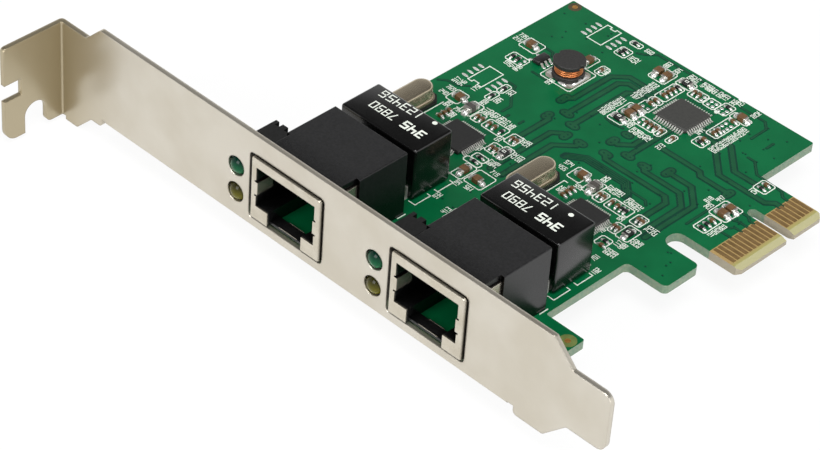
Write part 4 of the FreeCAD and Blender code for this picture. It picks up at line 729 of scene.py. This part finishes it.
# ---------------------------------------------------------------- the regulator
# A five-lead regulator in a small moulding of black epoxy, on gull-wing leads of
# tinned copper that are soldered to lands left open in the mask.
low, high = box_of("regulator_body")
x, y = (low + high)[:2] / 2
piece("regulator_block", case(low, high, 0.3), dark_epoxy, "chip_epoxy",
      "regulator_body")
leg = bent_strip([(-0.1, 0.5), (0.1, 0.5), (0.22, 0.42), (0.32, 0.15), (0.42, 0.08),
                  (0.65, 0.08)], 0.14, 0.42)
legs = [set_down(leg, x, y, turn, 0.8, along) for turn, row in
        ((0, (-0.95, 0, 0.95)), (180, (-0.95, 0.95))) for along in row]
piece("regulator_legs", joined(legs), tinned, "tinned_lead", "regulator_leads")
toes = [dome(x + way * 1.6, y + along, 0.35, 0.28, 0.14)
        for way, row in ((1, (-0.95, 0, 0.95)), (-1, (-0.95, 0.95))) for along in row]
piece("regulator_lands", joined(toes), solder, "end_solder")

# --------------------------------------------------------------------- the crystals
# A quartz crystal sealed in a deep-drawn nickel silver can, welded on a rim and
# clipped to a black carrier.

# Polyamide is black with a soft shine and a faint unevenness; a drawn can is a smooth
# warm grey that mirrors its surroundings a little blurred.
holder_plastic = mottled("moulded_black_polyamide", "#101010", "#1C1C1C", 0.4, 0.8,
                         0.006, Roughness=0.45, Specular_IOR_Level=0.3)
drawn_can = mottled("drawn_nickel_silver", "#C2B69F", "#B8AB94", 4.0, 1.0,
                    Metallic=0.9, Roughness=0.27)
can = [(0, 0.7), (2.27, 0.7), (2.27, 1.05), (1.98, 1.05), (1.9, 1.15), (1.85, 1.4),
       (1.85, 2.9), (1.81, 3.1), (1.7, 3.28), (1.5, 3.38), (1.3, 3.4), (0, 3.4)]
for crystal in (1, 2):
    low, high = box_of("crystal_%d_can" % crystal)
    x, y = (low + high)[:2] / 2
    piece("crystal_can_%d" % crystal, spun(can, (x, y, 0), (0, 3.2), 8), drawn_can,
          "crystal_nickel", "crystal_%d_can" % crystal)
    dress("crystal_%d_base" % crystal, holder_plastic)
    dress("crystal_%d_leads" % crystal, tinned)

# ----------------------------------------------------------------- the transformers
# Isolation transformers potted in glossy black epoxy, with softened edges and a
# plain number and a first-pin dot printed on top.

# Potting epoxy cures to a hard gloss, so its near-black faces mirror what is round it.
black_epoxy = mottled("glossy_black_epoxy", "#060606", "#0B0B0B", 1.2, 1.0,
                      Roughness=0.2, IOR=1.55, Specular_IOR_Level=0.62)

# The print: where each number starts, its turn in degrees, its height and its pitch.
thin_digits, bold_digits, dots = [], [], []
for port, x, y in ((1, 54.3, 28.85), (2, 84.0, 28.05)):
    low, high = box_of("transformer_%d_case" % port)
    piece("transformer_%d" % port, case(low, high, 0.45), black_epoxy, "case_epoxy",
          "transformer_%d_case" % port)
    dress("transformer_%d_pins" % port, tinned)
    thin_digits += number("123456", x, y, 182, 1.6, 1.5)
    thin_digits += number("7890", x - 2.4, y - 3.4, 180, 1.6, 1.4)
    bold_digits += number("345", x + 3.7, y - 3.4, 180, 1.6, 1.6)
    dots.append([(x + 2.6, y - 0.4), (x + 2.65, y - 0.4)])
for name, lines, width in (("case_numbers", thin_digits, 0.21),
                           ("case_bold_numbers", bold_digits, 0.36),
                           ("first_pin_dots", dots, 0.85)):
    laid(name, lines, width, 9.9, 9.96, white_ink, "case_epoxy")

# ------------------------------------------------------------------------ the jacks
# Glass-filled nylon housings, moulded charcoal with a fine speckle.  A tin-plated
# sheet cap is folded over the front, and eight gold-plated wires lie inside.

# Short glass fibres at the skin speckle the charcoal nylon, drawn at 0.35 mm, coarser
# than they are, so that they show.  Tin plate is warm and bright, and gold wire yellow.
glass_nylon = mottled("glass_filled_nylon", "#0F0F10", "#1F1F20", 0.35, 0.8, 0.006,
                      edge=0.12, Roughness=0.42, Specular_IOR_Level=0.44)
tin_plate = mottled("tin_plated_sheet", "#CDC6B7", "#C1B9A8", 3.0, 1.0,
                    edge=0.2, Metallic=0.85, Roughness=0.25)
gold_wire = mottled("gold_plated_wire", "#D0A75A", "#B48B45", 0.5, 1.0,
                    Metallic=1.0, Roughness=0.25)


def paint_hollow_shade(finish, reach, core_gloss):
    """Paints shade into a finish and polishes it where it is closed in, within the reach in
    mm.

    The open share of the sky, cubed, runs from painted black shade and the core's gloss to
    the finish's own colour and roughness.
    """
    tree = finish.node_tree
    shader = tree.nodes["Principled BSDF"]
    own_colour = shader.inputs["Base Color"].links[0].from_socket
    own_roughness = shader.inputs["Roughness"].default_value
    sky = add(tree, "ShaderNodeAmbientOcclusion", {"Distance": reach / 1000}, samples=4)
    open_share = add(tree, "ShaderNodeMath", {0: sky.outputs["AO"], 1: 3.0},
                     operation="POWER").outputs[0]
    # Painted shade: the base colour runs down to black where the sky is closed off.
    deep = add(tree, "ShaderNodeMix", {0: open_share, 6: linear("#020202"),
                                       7: own_colour}, data_type="RGBA")
    tree.links.new(deep.outputs[2], shader.inputs["Base Color"])
    gloss = add(tree, "ShaderNodeMapRange", {"Value": open_share, "To Min": core_gloss,
                                             "To Max": own_roughness})
    tree.links.new(gloss.outputs[0], shader.inputs["Roughness"])


# Painted shade: deep in the mouths the nylon and the sheet see little light, so their
# colour is painted down to black.
paint_hollow_shade(glass_nylon, 8.0, 0.12)
paint_hollow_shade(tin_plate, 5.0, 0.25)
sills = []
for port in (1, 2):
    low, high = box_of("port_%d_shield" % port)
    x = (low + high)[0] / 2
    sills += [[(x - 1.9, 0.42), (x + 2.0, 0.42)], [(x - 1.6, 2.4), (x + 1.6, 2.4)]]
    dress("port_%d_housing" % port, glass_nylon)
    dress("port_%d_shield" % port, tin_plate)
    dress("port_%d_contacts" % port, gold_wire)
laid("sill_edges", sills, 0.11, 0.5, 0.6, tin_plate, "shield_plate")

# ----------------------------------------------------------------------- the lamps
# Round lamps cast in tinted clear epoxy, two high in a finned black holder that
# clips to the board beside each jack.
lens_side = 1.65
nose = np.linspace(0, math.pi / 2, 9)
lens = [(0, 0), (lens_side, 0), *zip(lens_side * np.cos(nose), 3.7 + 1.4 * np.sin(nose))]
for pair in (1, 2):
    dress("led_holder_%d" % pair, holder_plastic)
    dress("led_leads_%d" % pair, tinned)
    for tint, deep, pale in (("green", "#02241A", "#0D5E36"),
                             ("yellow", "#26240A", "#656013")):
        low, high = box_of("%s_led_%d" % (tint, pair))
        x, z = ((low + high) / 2)[[0, 2]]
        # Painted light: the tinted epoxy is painted paler low in the lens, where light
        # falls through it, and darker above.
        epoxy = mottled("%s_tinted_epoxy_%d" % (tint, pair), deep, pale, 1.5, 0.15,
                        Roughness=0.08, Specular_IOR_Level=0.16)
        tree = epoxy.node_tree
        upright = add(tree, "ShaderNodeSeparateXYZ",
                      {0: add(tree, "ShaderNodeTexCoord").outputs["Object"]})
        painted_light_share = add(tree, "ShaderNodeMapRange", {"Value": upright.outputs["Z"],
                                               "From Min": (z + 1.0) / 1000,
                                               "From Max": (z - 1.2) / 1000})
        glow = add(tree, "ShaderNodeMix", {0: painted_light_share.outputs[0], 6: linear(deep),
                                           7: linear(pale)}, data_type="RGBA")
        tree.links.new(glow.outputs[2],
                       tree.nodes["Principled BSDF"].inputs["Base Color"])
        points, faces = spun(lens, (0, 0, 0), steps=6)
        points = np.stack([points[:, 0] + x, high[1] - points[:, 2],
                           points[:, 1] + z], -1)
        piece("%s_lens_%d" % (tint, pair), (points, faces), epoxy,
              "%s_lens" % tint, "%s_led_%d" % (tint, pair))

# --------------------------------------------------------- the joints underneath
# Wave-soldered joints where the jacks' tails and the lamps' leads come through the
# board and are cut short.
joints, tail_pitch = [], 1.02
for port in (1, 2):
    low, high = box_of("port_%d_contacts" % port)
    joints += [((low + high)[0] / 2 + (at - 3.5) * tail_pitch, 13.2 + 2.2 * (at % 2))
               for at in range(8)]
    low, high = box_of("led_leads_%d" % port)
    joints += [(x, y) for x in (low[0] + 0.25, high[0] - 0.25) for y in (7.7, 9.85)]
board_low = box_of("circuit_board")[0]
drops = []
for x, y in joints:
    points, faces = dome(x, y, 0.5, 0.5, 0.55)
    drops.append((points * (1, 1, -1) + (0, 0, board_low[2]), faces))
piece("soldered_tails", joined(drops), solder, "end_solder")

# -------------------------------------------------------------------- the bracket
# 0.86 mm cold-rolled steel, blanked and folded on a press, then plated with
# satin nickel, which gives a soft warm-grey sheen.

# Satin nickel blurs what it mirrors; its tone drifts over the sheet, and it is painted
# browner by the folds as a painted reflection.
satin_nickel = mottled("satin_nickel_on_steel", "#CEC8BB", "#C6BFB0", 9.0, 1.0,
                       edge=0.4, Metallic=0.85, Roughness=0.28)
tree = satin_nickel.node_tree
shader = tree.nodes["Principled BSDF"]
plating_colour = shader.inputs["Base Color"].links[0].from_socket
across = add(tree, "ShaderNodeSeparateXYZ",
             {0: add(tree, "ShaderNodeTexCoord").outputs["Object"]})
# Painted reflection: towards the fold at the bracket's corner the base colour is painted
# brown.
fold_reflection_share = add(tree, "ShaderNodeMapRange", {"Value": across.outputs["X"],
                                           "From Min": -0.09, "From Max": -0.105})
painted_fold_reflection = add(tree, "ShaderNodeMix", {0: fold_reflection_share.outputs[0], 6: plating_colour,
                                           7: linear("#AEA287")}, data_type="RGBA")
tree.links.new(painted_fold_reflection.outputs[2], shader.inputs["Base Color"])
dress("bracket", satin_nickel)

# --------------------------------------------------------------- bracket screws
# Nickel-plated steel machine screws with low pan heads and a dished drive,
# driven through the board into the bracket's lip.

# Bright nickel on a turned screw mirrors sharply.
bright_nickel = mottled("bright_nickel_screws", "#C9C4BA", "#B4AFA6", 1.0, 1.0,
                        Metallic=1.0, Roughness=0.25)
low, high = box_of("bracket_screws")

# Half the outline of a screw, as (reach, height), with its thread as plain rings.
pan = [(0, 0.9), (0.5, 0.9), (0.9, 1.85), (1.6, 1.85), (2.3, 1.6), (2.65, 1.0),
       (2.65, 0.0), (1.4, 0.0)]
thread = [(1.42 - 0.18 * (at % 2), -0.3 * at) for at in range(1, 15)]
turned_screw = [*pan, *thread, (1.0, -4.5), (0, -4.5)][::-1]
piece("screws", joined([spun(turned_screw, (x, (low + high)[1] / 2, 0), steps=8)
                        for x in (low[0] + 2.7, high[0] - 2.7)]),
      bright_nickel, "screw_steel", "bracket_screws")

# -------------------------------------------------------------------------- studio
# A plain pale floor under the card, broad soft lights at the camera's side and
# overhead, and a dark ceiling that only mirrors see.
camera = bpy.data.cameras.new("camera")
camera.lens = 136.45
camera.sensor_width = 36
camera.clip_end = 10
viewer = bpy.data.objects.new("camera", camera)
viewer.location = (0.20977, -0.32218, 0.30351)
viewer.rotation_euler = [math.radians(turn) for turn in (50.9695, -3.3570, 44.6936)]
bpy.context.scene.collection.objects.link(viewer)
bpy.context.scene.camera = viewer

for name, spot, power, width in (("top_light", (0.25, -0.25, 0.9), 6.5, 0.5),
                                 ("right_light", (0.9, -0.1, 0.35), 3.3, 0.5),
                                 ("front_light", (-0.1, -0.9, 0.45), 5.5, 0.5)):
    lamp = bpy.data.lights.new(name, "AREA")
    lamp.energy = power
    lamp.size = width
    holder = bpy.data.objects.new(name, lamp)
    holder.location = spot
    holder.rotation_euler = Vector(spot).to_track_quat("Z", "Y").to_euler()
    bpy.context.scene.collection.objects.link(holder)

# The camera and clear things see plain white, matt surfaces gather half of it, and
# mirrors see it dim from the horizon up to a dark ceiling.
world = bpy.data.worlds.new("studio")
bpy.context.scene.world = world
world.use_nodes = True
tree = world.node_tree
ray = add(tree, "ShaderNodeLightPath")
up = add(tree, "ShaderNodeSeparateXYZ",
         {0: add(tree, "ShaderNodeTexCoord").outputs["Generated"]}).outputs["Z"]
ceiling = add(tree, "ShaderNodeMapRange", {"Value": up, "From Min": 0.36,
                                           "From Max": 0.58, "To Min": 1.0,
                                           "To Max": 0.07}).outputs[0]
mirrored = add(tree, "ShaderNodeMix", {0: ray.outputs["Is Glossy Ray"], 2: 0.5,
                                       3: ceiling}, data_type="FLOAT").outputs[0]
clear = add(tree, "ShaderNodeMath", {0: ray.outputs["Is Camera Ray"],
                                     1: ray.outputs["Is Transmission Ray"]},
            operation="MAXIMUM").outputs[0]
level = add(tree, "ShaderNodeMix", {0: clear, 2: mirrored, 3: 1.0},
            data_type="FLOAT").outputs[0]
tree.links.new(level, tree.nodes["Background"].inputs["Strength"])
tree.nodes["Background"].inputs["Color"].default_value = (1, 1, 1, 1)

floor_mesh = bpy.data.meshes.new("floor")
floor_level = cad_box[0][2] - 0.0002
floor_mesh.from_pydata([(x, y, floor_level) for x, y in ((-3, -3), (3, -3), (3, 3),
                                                         (-3, 3))], [], [(0, 1, 2, 3)])
floor = bpy.data.objects.new("floor", floor_mesh)
bpy.context.scene.collection.objects.link(floor)
# Matt white paper, which glows evenly to the camera and keeps the card's shadow.
paper = bpy.data.materials.new("pale_paper_floor")
paper.use_nodes = True
tree = paper.node_tree
shader = tree.nodes["Principled BSDF"]
shader.inputs["Base Color"].default_value = linear("#F4F4F4")
shader.inputs["Roughness"].default_value = 0.9
ray = add(tree, "ShaderNodeLightPath")
glow = add(tree, "ShaderNodeEmission", {"Color": (1, 1, 1, 1), "Strength": 1.0})
seen = add(tree, "ShaderNodeMath", {0: ray.outputs["Is Camera Ray"],
                                    1: ray.outputs["Is Glossy Ray"]},
           operation="MAXIMUM")
share = add(tree, "ShaderNodeMath", {0: seen.outputs[0], 1: 0.9}, operation="MULTIPLY")
mixed = add(tree, "ShaderNodeMixShader", {0: share.outputs[0], 1: shader.outputs[0],
                                          2: glow.outputs[0]})
tree.links.new(mixed.outputs[0], tree.nodes["Material Output"].inputs["Surface"])
floor_mesh.materials.append(paper)

bpy.context.scene.view_settings.view_transform = "Standard"
